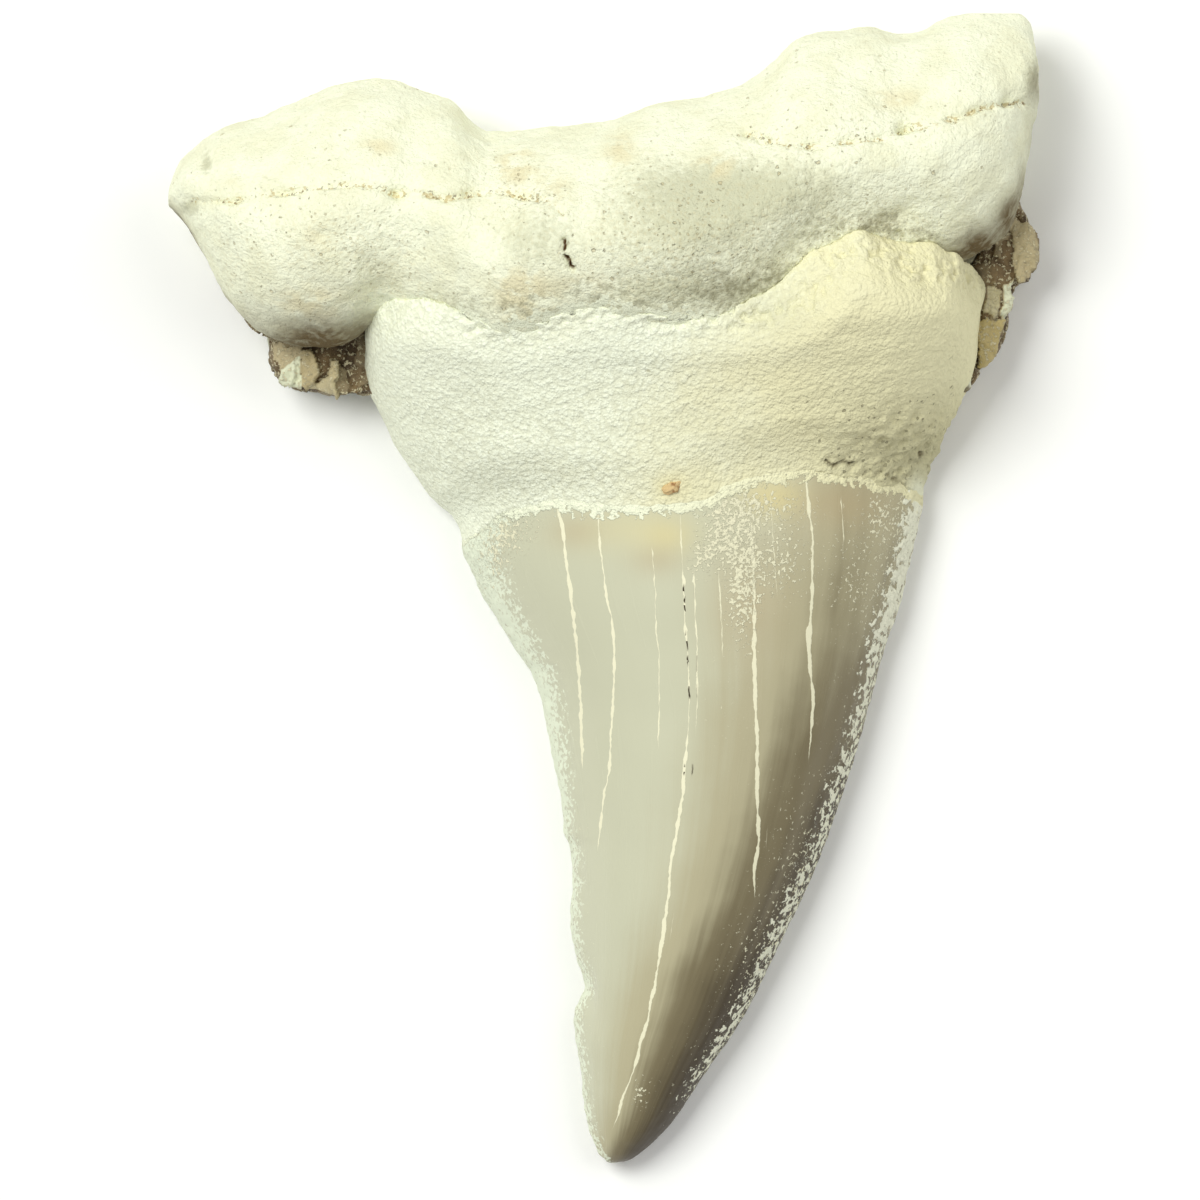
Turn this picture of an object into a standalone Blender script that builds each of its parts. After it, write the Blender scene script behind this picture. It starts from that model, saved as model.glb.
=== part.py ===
# A fossil shark tooth, lying on its flat outer face with its rounded inner face up.
# The root is at +Y, the tip of the crown at -Y, and a crust of sandy rock coats the neck.
# Frame: metres, +Z up, origin on the resting surface under the middle of the tooth's box.

import math

import bmesh
import bpy
import numpy as np
from mathutils import Vector, noise

# Driving dimensions, in metres
MM = 0.001
TOOTH_LENGTH = 65.0 * MM
ROOT_THICKNESS = 16.6 * MM
CROWN_THICKNESS = 9.8 * MM
SHOULDER_THICKNESS = 4.2 * MM
CRUST_HEIGHT = 14.2 * MM
PIECE_GAP = 0.3 * MM

# Fineness of the solids
FUSE_VOXEL = 0.42 * MM
CRUST_VOXEL = 0.40 * MM
TOOTH_TRIANGLES = 6400
CRUST_TRIANGLES = 1900
RING_POINTS = 36
ROOT_STATIONS = 72
CROWN_STATIONS = 64
CRUST_STATIONS = 40

# Every outline below is measured on a tooth of this length, in millimetres
DRAWN_LENGTH = 65.0
UNIT = TOOTH_LENGTH / DRAWN_LENGTH

# Upper edge of the root, from the left lobe's tip to the right lobe's: x, y
ROOT_TOP = [
    (-24.85, 22.5), (-24.6, 23.5), (-24.1, 24.5), (-22.8, 25.5), (-21.3, 26.4), (-19.8, 26.75),
    (-18.6, 27.3), (-17.6, 27.6), (-16.4, 28.1), (-15.3, 28.5), (-14.2, 28.7), (-13.0, 28.7),
    (-12.3, 28.7), (-11.0, 28.4), (-10.1, 28.2), (-9.3, 28.0), (-8.5, 27.6), (-8.0, 26.9),
    (-7.5, 26.2), (-6.6, 25.8), (-5.8, 25.8), (-4.6, 26.0), (-2.0, 26.1), (0.3, 26.4),
    (1.6, 26.8), (3.3, 27.3), (5.4, 27.8), (7.2, 28.4), (8.7, 29.0), (9.8, 29.9),
    (10.7, 30.9), (11.8, 31.4), (13.1, 31.7), (14.8, 31.75), (16.5, 31.4), (18.0, 31.6),
    (18.9, 32.1), (19.9, 32.4), (21.2, 32.5), (22.6, 32.5), (23.5, 32.4), (24.0, 31.9),
    (24.3, 31.0), (24.4, 29.4),
]

# Lower edge of the root's bulge, which runs on a little under the crust: x, y
ROOT_BOTTOM = [
    (-24.85, 21.7), (-24.1, 21.0), (-23.3, 19.9), (-22.6, 18.7), (-22.0, 17.3), (-21.1, 15.9),
    (-19.9, 14.7), (-18.7, 14.0), (-17.2, 13.75), (-15.8, 13.75), (-14.4, 14.15), (-13.5, 14.7),
    (-12.4, 14.9), (-11.0, 14.3), (-9.3, 13.5), (-7.9, 12.6), (-6.2, 12.1), (-4.2, 12.3),
    (-2.2, 12.9), (-0.3, 13.4), (1.7, 12.9), (3.7, 12.6), (5.7, 12.9), (7.6, 13.6), (9.3, 14.4),
    (11.0, 15.3), (13.3, 16.3), (15.6, 17.0), (17.8, 17.7), (19.5, 18.2), (20.7, 18.7),
    (21.8, 19.4), (22.8, 20.5), (23.4, 22.0), (23.8, 23.9), (24.1, 26.0), (24.3, 27.6),
    (24.4, 28.2),
]

# Height of the root's highest line above the resting surface: x, share of the root's thickness
ROOT_FRONT = [
    (-24.85, 0.40), (-23.6, 0.56), (-21.5, 0.70), (-18.0, 0.80), (-15.0, 0.83), (-11.5, 0.82),
    (-8.0, 0.90), (-3.0, 0.98), (3.0, 1.00), (8.0, 0.95), (12.0, 0.87), (17.0, 0.80),
    (20.5, 0.74), (22.8, 0.62), (24.0, 0.50), (24.4, 0.42),
]

# Height of the root's flat outer face, which rests on its two lobes: x, height in mm
ROOT_BACK = [
    (-24.85, 4.2), (-23.6, 2.2), (-21.5, 0.7), (-17.5, -0.25), (-11.0, 0.1), (-6.0, 0.8),
    (2.0, 0.9), (9.0, 0.3), (16.0, -0.25), (20.5, 0.3), (23.0, 1.4), (24.0, 2.6), (24.4, 3.4),
]

# One cross-section of the root, the same shape everywhere: share of the way down from the upper
# edge to the lower one, and share of the way from the outer face to the highest line
ROOT_SECTION = [
    (0.00, 0.36), (0.03, 0.50), (0.10, 0.65), (0.20, 0.78), (0.30, 0.88), (0.38, 0.945),
    (0.50, 1.00), (0.60, 0.985), (0.69, 0.94), (0.77, 0.885), (0.84, 0.82), (0.90, 0.74),
    (0.96, 0.62), (1.00, 0.46), (0.97, 0.30), (0.90, 0.12), (0.76, 0.00), (0.50, 0.00),
    (0.26, 0.02), (0.08, 0.12),
]

# Left and right cutting edges of the crown, from inside the root to the tip: y, x
CROWN_LEFT = [
    (19.0, -11.2), (15.0, -12.6), (12.0, -12.4), (9.5, -11.0), (6.5, -9.2), (4.0, -8.0),
    (2.3, -8.05), (1.2, -7.5), (-0.4, -6.7), (-2.0, -5.7), (-3.5, -4.8), (-4.6, -4.1),
    (-6.0, -3.7), (-8.0, -3.25), (-10.0, -2.85), (-12.0, -2.5), (-13.9, -2.35), (-14.6, -1.95),
    (-16.5, -1.85), (-18.5, -1.95), (-20.2, -1.8), (-21.5, -1.45), (-22.6, -1.25),
    (-23.3, -1.5), (-24.2, -1.8), (-25.3, -1.7), (-27.0, -1.45), (-29.0, -1.25), (-30.2, -1.0),
    (-31.2, -0.7), (-31.9, -0.4), (-32.5, 0.1),
]
CROWN_RIGHT = [
    (19.0, 20.6), (15.0, 20.9), (12.0, 19.9), (9.5, 18.4), (7.4, 17.6), (5.0, 17.95),
    (2.8, 17.5), (0.8, 16.9), (-1.0, 16.4), (-3.0, 15.6), (-5.0, 15.0), (-7.0, 14.4),
    (-9.0, 14.1), (-11.0, 13.5), (-13.0, 12.9), (-15.0, 12.2), (-17.5, 11.1), (-20.0, 9.9),
    (-22.5, 8.7), (-25.0, 7.3), (-27.0, 5.9), (-28.5, 4.9), (-30.0, 3.8), (-31.0, 2.9),
    (-31.8, 2.05), (-32.3, 1.5), (-32.5, 0.9),
]

# Heights along the crown: y, share of the crown's thickness, height of the cutting edges in mm,
# height of the flat outer face in mm
CROWN_HEIGHTS = [
    (19.0, 0.86, 2.2, 0.4), (14.0, 0.99, 2.1, 0.1), (9.0, 1.00, 1.9, -0.1), (3.0, 0.97, 1.8, -0.25),
    (-4.0, 0.92, 1.7, -0.3), (-11.0, 0.85, 1.7, -0.25), (-18.0, 0.76, 1.7, -0.1),
    (-24.0, 0.63, 1.7, 0.2), (-28.5, 0.50, 1.7, 0.5), (-31.0, 0.38, 1.65, 0.8),
    (-32.1, 0.28, 1.6, 1.1), (-32.5, 0.21, 1.55, 1.3),
]
LINGUAL_FULLNESS = 1.35
LABIAL_FLATNESS = 0.55

# Flat foot of the crown that carried the side cusps, seen in plan: x, y. Both ends are broken
SHOULDER_OUTLINE = [
    (-19.7, 16.5), (-19.15, 14.1), (-18.95, 12.9), (-18.6, 12.2), (-18.1, 11.6), (-17.3, 11.3),
    (-15.9, 11.1), (-14.3, 11.05), (-13.2, 11.2), (-9.0, 9.5), (0.0, 8.0), (12.0, 8.5),
    (18.8, 10.5), (20.4, 11.4), (21.2, 12.4), (22.0, 13.3), (22.6, 14.6), (22.85, 16.5),
    (23.0, 17.35), (24.0, 17.55), (24.2, 18.6), (24.2, 19.8), (23.8, 20.8), (23.2, 21.7),
    (20.0, 22.0), (0.0, 19.0), (-17.0, 17.5),
]
SHOULDER_BASE = 0.4

# Plan of the sandy crust where it ends on the root and on the enamel: x, y. The root hides its
# upper border but for the tongue on the right, and its sides lie inside this plan
CRUST_PLAN = [
    (-14.5, 15.4), (-13.2, 16.0), (-12.3, 16.3), (-10.0, 16.1), (-8.2, 15.4), (-6.5, 14.8),
    (-4.2, 15.0), (-2.5, 15.6), (-0.3, 16.2), (2.0, 15.5), (4.2, 15.3), (6.6, 15.7), (8.8, 16.4),
    (10.7, 17.1), (11.2, 18.3), (12.1, 19.4), (13.8, 19.9), (15.6, 19.9), (17.0, 19.3),
    (18.4, 18.6), (20.2, 18.4), (21.4, 17.85), (22.0, 16.5), (22.0, 12.0), (20.0, 6.6),
    (18.4, 4.4), (17.6, 5.3), (17.0, 5.8), (15.4, 5.8), (14.4, 6.3), (12.9, 6.3),
    (11.9, 6.7), (11.0, 6.6), (8.5, 6.2), (7.0, 5.7), (6.0, 5.0), (4.8, 4.7),
    (2.6, 4.6), (-0.3, 4.5), (-2.8, 4.75), (-3.7, 4.85), (-4.3, 4.5), (-6.0, 4.2),
    (-8.2, 2.4), (-9.6, 1.8), (-14.5, 9.0),
]

# Sides of the crust over the cutting edges: y, left x, right x
CRUST_SIDES = [
    (1.0, -8.2, 17.6), (2.4, -8.4, 17.8), (3.5, -8.8, 18.0), (4.4, -9.4, 18.15), (5.4, -10.15, 18.3),
    (6.4, -10.8, 18.5), (7.3, -11.4, 18.7), (8.2, -12.0, 19.0), (9.2, -12.5, 19.5),
    (10.1, -13.0, 20.0), (11.0, -13.4, 20.5), (12.0, -13.65, 21.1), (13.2, -13.7, 21.35),
    (14.6, -13.7, 21.4), (16.0, -13.65, 21.5), (17.4, -13.5, 21.55), (18.6, -13.0, 21.4),
    (21.0, -11.0, 20.7),
]

# Form of the crust along the tooth: y, share of its height, sharpness of its crest, and how
# steeply its sides fall
CRUST_FORM = [
    (1.0, 0.715, 2.0, 0.62), (4.6, 0.73, 2.0, 0.60), (6.0, 0.745, 2.1, 0.56), (8.0, 0.77, 2.3, 0.48),
    (10.0, 0.81, 2.5, 0.40), (12.0, 0.875, 2.9, 0.33), (14.0, 0.97, 3.3, 0.27), (15.6, 1.035, 3.4, 0.26),
    (18.0, 1.04, 3.3, 0.28), (21.0, 1.04, 3.2, 0.30),
]
CRUST_EDGE = 1.3
CRUST_BASE = 0.8

# Tongue of crust that climbs the root on the right: x, y, height, reach across, reach along
CRUST_TONGUE = (15.4, 18.6, 0.6, 5.0, 3.0)

# Furrow where the root's upper face meets its inner face, in two stretches: x, y
FURROWS = [
    [(-22.6, 21.9), (-20.5, 22.1), (-16.0, 22.7), (-11.8, 22.4), (-8.0, 22.1), (-3.5, 22.1), (-2.2, 21.0)],
    [(7.8, 26.0), (10.4, 25.1), (13.0, 25.2), (15.8, 25.8), (19.4, 26.6), (22.4, 27.3), (24.2, 27.6)],
]
FURROW_WIDTH = 0.55
FURROW_DEPTH = 0.45

# Short open crack below the furrow: x, y
CRACK = [(-2.35, 19.7), (-2.2, 19.2), (-2.2, 18.6), (-1.8, 17.9)]
CRACK_WIDTH = 0.30
CRACK_DEPTH = 0.7

# Pits in the root: x, y, radius, depth
PITS = [
    (-22.4, 22.0, 0.9, 0.4), (-11.8, 22.3, 0.7, 0.6), (16.9, 26.1, 0.6, 0.6), (-15.6, 19.8, 1.0, 0.35),
    (16.9, 20.9, 1.1, 0.4), (-22.7, 24.0, 0.7, 0.3), (22.9, 27.7, 0.6, 0.4), (7.9, 25.9, 0.6, 0.3),
    (-12.8, 16.9, 0.8, 0.3), (-4.7, 22.0, 0.8, 0.35),
]

# Boundary of the enamel on the flat outer face, where the enamel stands a little proud: x, y
ENAMEL_FOOT = [
    (-20.5, 15.0), (-14.0, 16.6), (-6.0, 18.6), (2.0, 19.4), (10.0, 19.6), (18.0, 20.6), (24.5, 22.5),
]
ENAMEL_STEP = 0.25

# Unevenness of each surface: height, size of its features, seed
BONE_LUMPS = [(0.34, 4.2, 1), (0.20, 1.7, 2)]
ENAMEL_LUMPS = [(0.05, 3.0, 4)]
CRUST_LUMPS = [(0.16, 2.6, 5), (0.12, 1.2, 6)]
FURROW_BREAKS = (1.3, 3)

# The enamel ends between these two y on the inner face
ENAMEL_END = (9.0, 12.0)

# Splintered stumps of the side cusps: y where they begin, x of the left and of the right one,
# height where they end, each as a start and a finish
STUMP_FOOT = (9.5, 10.5)
STUMP_LEFT = (12.6, 13.2)
STUMP_RIGHT = (20.8, 21.3)
STUMP_TOP = (4.6, 5.6)
SPLINTER_SIZE = 1.5
SPLINTER_HEIGHT = 0.9
SPLINTER_LEVEL = 0.8

# Everything on the inner face looks up and stands above this height
INNER_FACE_FROM = 2.0

ENAMEL_COLOUR = (0.55, 0.52, 0.38, 1.0)
CRUST_COLOUR = (0.79, 0.80, 0.64, 1.0)


def clear_scene():
    for obj in list(bpy.data.objects):
        bpy.data.objects.remove(obj)


def new_collection(name):
    collection = bpy.data.collections.new(name)
    bpy.context.scene.collection.children.link(collection)
    return collection


def principled(name, colour, roughness):
    material = bpy.data.materials.new(name)
    material.use_nodes = True
    shader = material.node_tree.nodes["Principled BSDF"]
    shader.inputs["Base Color"].default_value = colour
    shader.inputs["Roughness"].default_value = roughness
    shader.inputs["Metallic"].default_value = 0.0
    return material


def add_object(name, mesh, collection):
    obj = bpy.data.objects.new(name, mesh)
    collection.objects.link(obj)
    return obj


def read_line(line, at):
    # Height of a drawn line at one place, straight between its points
    points = sorted(line)
    return float(np.interp(at, [p[0] for p in points], [p[1] for p in points]))


def smooth_ring(points, count):
    # Closed curve through the points, read at evenly spread places
    total = len(points)
    ring = []
    for step in range(count):
        place = step * total / count
        index = int(place)
        t = place - index
        a, b, c, d = (Vector(points[(index + k) % total]) for k in (-1, 0, 1, 2))
        bend, twist = 2 * a - 5 * b + 4 * c - d, 3 * b - a - 3 * c + d
        ring.append(0.5 * (2 * b + (c - a) * t + bend * t * t + twist * t ** 3))
    return ring


def spread_to_ends(low, high, count):
    # Places from low to high, closer together towards both ends
    middle, half = (low + high) / 2, (high - low) / 2
    return [middle - half * math.cos(math.pi * k / (count - 1)) for k in range(count)]


def loft(name, rings, collection):
    # Closed body through a row of rings that have the same number of points
    body = bmesh.new()
    rows = [[body.verts.new(Vector(p) * UNIT) for p in ring] for ring in rings]
    for row, following in zip(rows, rows[1:]):
        for k in range(len(row)):
            after = (k + 1) % len(row)
            body.faces.new((row[k], row[after], following[after], following[k]))
    body.faces.new(rows[0])
    body.faces.new(rows[-1])
    bmesh.ops.recalc_face_normals(body, faces=body.faces[:])
    mesh = bpy.data.meshes.new(name)
    body.to_mesh(mesh)
    body.free()
    return add_object(name, mesh, collection)


def make_root(collection):
    section = smooth_ring(ROOT_SECTION, RING_POINTS)
    thickness = ROOT_THICKNESS / UNIT
    rings = []
    for x in spread_to_ends(ROOT_TOP[0][0], ROOT_TOP[-1][0], ROOT_STATIONS):
        top, bottom = read_line(ROOT_TOP, x), read_line(ROOT_BOTTOM, x)
        back, front = read_line(ROOT_BACK, x), read_line(ROOT_FRONT, x) * thickness
        rings.append([(x, top + (bottom - top) * down, back + (front - back) * out) for down, out in section])
    return loft("root_shape", rings, collection)


def make_crown(collection):
    thickness = CROWN_THICKNESS / UNIT
    front_line = [(y, share * thickness) for y, share, _, _ in CROWN_HEIGHTS]
    edge_line = [(y, edge) for y, _, edge, _ in CROWN_HEIGHTS]
    back_line = [(y, back) for y, _, _, back in CROWN_HEIGHTS]
    rings = []
    for y in spread_to_ends(CROWN_LEFT[0][0], CROWN_LEFT[-1][0], CROWN_STATIONS):
        left, right = read_line(CROWN_LEFT, y), read_line(CROWN_RIGHT, y)
        front, edge, back = (read_line(line, y) for line in (front_line, edge_line, back_line))
        ring = []
        for k in range(RING_POINTS):
            angle = 2 * math.pi * k / RING_POINTS
            across, rise = math.cos(angle), math.sin(angle)
            if rise >= 0:
                z = edge + (front - edge) * rise ** LINGUAL_FULLNESS
            else:
                z = edge - (edge - back) * (-rise) ** LABIAL_FLATNESS
            ring.append(((left + right) / 2 + (right - left) / 2 * across, y, z))
        rings.append(ring)
    return loft("crown_shape", rings, collection)


def make_plate(name, outline, base, top, collection):
    # Flat outline drawn as a curve and given its thickness, then made a mesh
    curve = bpy.data.curves.new(name, "CURVE")
    curve.dimensions = "2D"
    curve.fill_mode = "BOTH"
    curve.extrude = (top - base) / 2 * UNIT
    spline = curve.splines.new("POLY")
    spline.points.add(len(outline) - 1)
    for point, (x, y) in zip(spline.points, outline):
        point.co = (x * UNIT, y * UNIT, 0, 1)
    spline.use_cyclic_u = True
    drawn = add_object(name + "_outline", curve, collection)
    drawn.location.z = (top + base) / 2 * UNIT
    bpy.context.view_layer.update()
    mesh = bpy.data.meshes.new_from_object(drawn.evaluated_get(bpy.context.evaluated_depsgraph_get()))
    mesh.transform(drawn.matrix_world)
    bpy.data.objects.remove(drawn)
    plate = bmesh.new()
    plate.from_mesh(mesh)
    bmesh.ops.remove_doubles(plate, verts=plate.verts[:], dist=0.00001)
    bmesh.ops.recalc_face_normals(plate, faces=plate.faces[:])
    plate.to_mesh(mesh)
    plate.free()
    mesh.name = name
    return add_object(name, mesh, collection)


def as_helper(obj):
    obj.hide_render = True
    obj.display_type = "WIRE"
    return obj


def boolean(obj, other, operation):
    modifier = obj.modifiers.new(operation.lower() + "_" + other.name, "BOOLEAN")
    modifier.operation = operation
    modifier.solver = "EXACT"
    modifier.object = other
    return modifier


def even_out(obj, voxel, passes):
    # One skin of even faces round everything, with its corners worn
    remesh = obj.modifiers.new("even_faces", "REMESH")
    remesh.mode = "VOXEL"
    remesh.voxel_size = voxel
    smooth = obj.modifiers.new("worn_corners", "SMOOTH")
    smooth.factor = 0.5
    smooth.iterations = passes


def freeze(obj):
    # The object's mesh becomes what its modifiers make of it
    bpy.context.view_layer.update()
    mesh = bpy.data.meshes.new_from_object(obj.evaluated_get(bpy.context.evaluated_depsgraph_get()))
    obj.modifiers.clear()
    obj.data = mesh
    return mesh


def places_and_normals(mesh):
    count = len(mesh.vertices)
    places, normals = np.empty(count * 3), np.empty(count * 3)
    mesh.vertices.foreach_get("co", places)
    mesh.vertices.foreach_get("normal", normals)
    return places.reshape(-1, 3), normals.reshape(-1, 3)


def push_out(mesh, places, normals, heights):
    moved = places + normals * (heights * UNIT)[:, None]
    mesh.vertices.foreach_set("co", moved.ravel())
    mesh.update()


def lumps(places, size, seed):
    # Smooth unevenness between about -1 and 1, with features of that size in mm
    shift = Vector((seed * 7.3, seed * 3.1, seed * 5.7))
    return np.array([noise.noise(Vector(p) / (size * UNIT) + shift) for p in places])


def unevenness(places, kinds):
    return sum(height * lumps(places, size, seed) for height, size, seed in kinds)


def ledge(value, low, high):
    t = np.clip((value - low) / (high - low), 0, 1)
    return t * t * (3 - 2 * t)


def distance_to_line(x, y, line):
    # Distance in plan from each place to a line of straight stretches
    nearest = np.full(len(x), 1e9)
    for (ax, ay), (bx, by) in zip(line, line[1:]):
        dx, dy = bx - ax, by - ay
        t = np.clip(((x - ax) * dx + (y - ay) * dy) / (dx * dx + dy * dy), 0, 1)
        nearest = np.minimum(nearest, np.hypot(x - ax - t * dx, y - ay - t * dy))
    return nearest


def enamel_share(x, y, facing_up):
    # 1 on the enamel and 0 on the root, on either face
    foot = np.interp(x, [p[0] for p in ENAMEL_FOOT], [p[1] for p in ENAMEL_FOOT])
    outer = 1 - ledge(y - foot, -0.2, 0.3)
    inner = 1 - ledge(y, *ENAMEL_END)
    return np.where(facing_up, inner, outer)


def hollows(places, normals):
    # Depth of the furrows, the crack and the pits in the root
    x, y, _ = (places / UNIT).T
    depth = np.zeros(len(places))
    broken = np.clip(0.75 + 0.6 * lumps(places, *FURROW_BREAKS), 0, 1.3)
    for line in FURROWS:
        depth += FURROW_DEPTH * broken * np.exp(-((distance_to_line(x, y, line) / FURROW_WIDTH) ** 2))
    depth += CRACK_DEPTH * np.exp(-((distance_to_line(x, y, CRACK) / CRACK_WIDTH) ** 2))
    for pit_x, pit_y, radius, pit_depth in PITS:
        depth += pit_depth * np.exp(-((x - pit_x) ** 2 + (y - pit_y) ** 2) / radius**2)
    return np.where(normals[:, 2] > 0.1, depth, 0)


def splinters(places):
    # Height of the long, sharp breaks in the stumps of the side cusps
    x, y, z = (places / UNIT).T
    sides = ledge(-x, *STUMP_LEFT) + ledge(x, *STUMP_RIGHT)
    stump = ledge(y, *STUMP_FOOT) * sides * (1 - ledge(z, *STUMP_TOP))
    drawn_out = [Vector((p[0] * 0.9, p[1] * 0.6, p[2])) / (SPLINTER_SIZE * UNIT) for p in places]
    nearest = np.array([noise.voronoi(p)[0][0] for p in drawn_out])
    return stump * SPLINTER_HEIGHT * (nearest - SPLINTER_LEVEL)


def weather_tooth(mesh):
    places, normals = places_and_normals(mesh)
    x, y, z = (places / UNIT).T
    facing_up = (normals[:, 2] > 0) & (z > INNER_FACE_FROM)
    enamel = enamel_share(x, y, facing_up)
    heights = (1 - enamel) * unevenness(places, BONE_LUMPS) - hollows(places, normals)
    heights += ENAMEL_STEP * enamel * (normals[:, 2] < 0) + splinters(places)
    heights += enamel * unevenness(places, ENAMEL_LUMPS)
    push_out(mesh, places, normals, heights)


def decimate(obj, triangles):
    held = sum(len(face.vertices) - 2 for face in obj.data.polygons)
    modifier = obj.modifiers.new("fewer_faces", "DECIMATE")
    modifier.ratio = min(1.0, triangles / held)
    modifier.use_collapse_triangulate = True


def gather(name, shapes, collection):
    # One mesh that holds all the shapes, which still pass through each other
    gathered = bmesh.new()
    for shape in shapes:
        gathered.from_mesh(shape.data)
        bpy.data.objects.remove(shape)
    mesh = bpy.data.meshes.new(name)
    gathered.to_mesh(mesh)
    gathered.free()
    return add_object(name, mesh, collection)


def make_tooth(parts):
    shoulder = make_plate("shoulder_shape", SHOULDER_OUTLINE, SHOULDER_BASE, SHOULDER_THICKNESS / UNIT, parts)
    tooth = gather("tooth", [make_root(parts), make_crown(parts), shoulder], parts)
    even_out(tooth, FUSE_VOXEL, 3)
    freeze(tooth)
    return tooth


def crust_ring(y):
    left = np.interp(y, [s[0] for s in CRUST_SIDES], [s[1] for s in CRUST_SIDES])
    right = np.interp(y, [s[0] for s in CRUST_SIDES], [s[2] for s in CRUST_SIDES])
    stations = [s[0] for s in CRUST_FORM]
    share, crest, fall = (np.interp(y, stations, [s[k] for s in CRUST_FORM]) for k in (1, 2, 3))
    tongue_x, tongue_y, tongue_height, reach_across, reach_along = CRUST_TONGUE
    ring = []
    for k in range(RING_POINTS):
        angle = 2 * math.pi * k / RING_POINTS
        across, rise = math.cos(angle), math.sin(angle)
        x = (left + right) / 2 + (right - left) / 2 * across
        if rise < 0:
            ring.append((x, y, CRUST_EDGE + (CRUST_EDGE - CRUST_BASE) * rise))
            continue
        full = max(0.0, 1 - abs(across) ** crest) ** fall
        near = math.exp(-(((x - tongue_x) / reach_across) ** 2) - ((y - tongue_y) / reach_along) ** 2)
        height = CRUST_EDGE + (CRUST_HEIGHT / UNIT * share - CRUST_EDGE + tongue_height * near) * full
        ring.append((x, y, height))
    return ring


def make_crust(parts, helpers):
    stations = np.linspace(CRUST_SIDES[0][0], CRUST_SIDES[-1][0], CRUST_STATIONS)
    crust = loft("sandy_matrix", [crust_ring(y) for y in stations], parts)
    plan = as_helper(make_plate("crust_plan", CRUST_PLAN, 0.0, 2 * CRUST_HEIGHT / UNIT, helpers))
    boolean(crust, plan, "INTERSECT")
    even_out(crust, CRUST_VOXEL, 3)
    freeze(crust)
    places, normals = places_and_normals(crust.data)
    push_out(crust.data, places, normals, unevenness(places, CRUST_LUMPS))
    return crust


def swollen_copy(obj, gap, name, helpers):
    swollen = add_object(name, obj.data.copy(), helpers)
    places, normals = places_and_normals(swollen.data)
    push_out(swollen.data, places, normals, np.full(len(places), gap / UNIT))
    return as_helper(swollen)


def make_rest_slab(helpers):
    # Everything below the resting surface is worn flat
    bpy.ops.mesh.primitive_cube_add(size=1)
    slab = bpy.context.active_object
    slab.name = "resting_surface"
    slab.scale = (2 * TOOTH_LENGTH, 2 * TOOTH_LENGTH, TOOTH_LENGTH / 4)
    slab.location.z = -TOOTH_LENGTH / 8
    for collection in slab.users_collection:
        collection.objects.unlink(slab)
    helpers.objects.link(slab)
    return as_helper(slab)


def centre_over_origin(objects):
    # The middle of the box round the objects comes over the origin
    bpy.context.view_layer.update()
    graph = bpy.context.evaluated_depsgraph_get()
    corners = [Vector(c) for obj in objects for c in obj.evaluated_get(graph).bound_box]
    for axis in (0, 1):
        middle = (min(c[axis] for c in corners) + max(c[axis] for c in corners)) / 2
        for obj in objects:
            for vertex in obj.data.vertices:
                vertex.co[axis] -= middle


def main():
    clear_scene()
    parts = new_collection("fossil_shark_tooth")
    helpers = new_collection("helpers")
    tooth = make_tooth(parts)
    crust = make_crust(parts, helpers)
    weather_tooth(tooth.data)
    decimate(tooth, TOOTH_TRIANGLES)
    freeze(tooth)
    cutter = swollen_copy(tooth, PIECE_GAP, "tooth_with_gap", helpers)
    decimate(crust, CRUST_TRIANGLES)
    freeze(crust)
    boolean(crust, cutter, "DIFFERENCE")
    freeze(crust)
    slab = make_rest_slab(helpers)
    boolean(tooth, slab, "DIFFERENCE")
    freeze(tooth)
    centre_over_origin([tooth, crust])
    tooth.data.materials.clear()
    tooth.data.materials.append(principled("fossil_enamel", ENAMEL_COLOUR, 0.3))
    crust.data.materials.clear()
    crust.data.materials.append(principled("sandy_rock", CRUST_COLOUR, 0.95))


main()
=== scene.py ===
# Fossil shark tooth with a sandy crust round its neck, lying on its flat outer face.
# Drawn sizes are in millimetres, with the root at +y, the tip of the crown at -y and z up.
import math

import bmesh
import bpy
import numpy as np
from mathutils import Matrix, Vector, noise
from mathutils.bvhtree import BVHTree


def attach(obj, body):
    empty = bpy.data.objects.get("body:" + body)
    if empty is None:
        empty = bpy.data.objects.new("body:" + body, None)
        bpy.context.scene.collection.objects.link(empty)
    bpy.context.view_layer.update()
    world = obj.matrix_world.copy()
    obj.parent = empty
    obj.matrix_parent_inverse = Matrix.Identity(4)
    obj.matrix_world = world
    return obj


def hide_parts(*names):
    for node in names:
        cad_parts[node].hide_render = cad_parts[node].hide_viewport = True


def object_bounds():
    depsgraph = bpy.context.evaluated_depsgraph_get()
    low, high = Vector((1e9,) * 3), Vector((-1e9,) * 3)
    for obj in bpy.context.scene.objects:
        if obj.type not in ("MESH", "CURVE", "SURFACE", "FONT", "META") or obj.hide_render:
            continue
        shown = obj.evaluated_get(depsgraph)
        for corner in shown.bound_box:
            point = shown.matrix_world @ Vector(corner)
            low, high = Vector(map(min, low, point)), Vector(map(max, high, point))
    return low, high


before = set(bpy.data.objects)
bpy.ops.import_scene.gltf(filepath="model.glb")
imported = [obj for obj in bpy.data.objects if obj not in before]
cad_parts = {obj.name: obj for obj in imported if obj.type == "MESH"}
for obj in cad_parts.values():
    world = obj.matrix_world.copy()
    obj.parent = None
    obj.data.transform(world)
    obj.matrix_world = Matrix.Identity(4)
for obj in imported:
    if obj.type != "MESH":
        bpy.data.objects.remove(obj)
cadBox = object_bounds()
mm = 0.001
drawnMiddle = np.array([-0.117, -0.043, 0])  # the drawn place that lies over the origin


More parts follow.
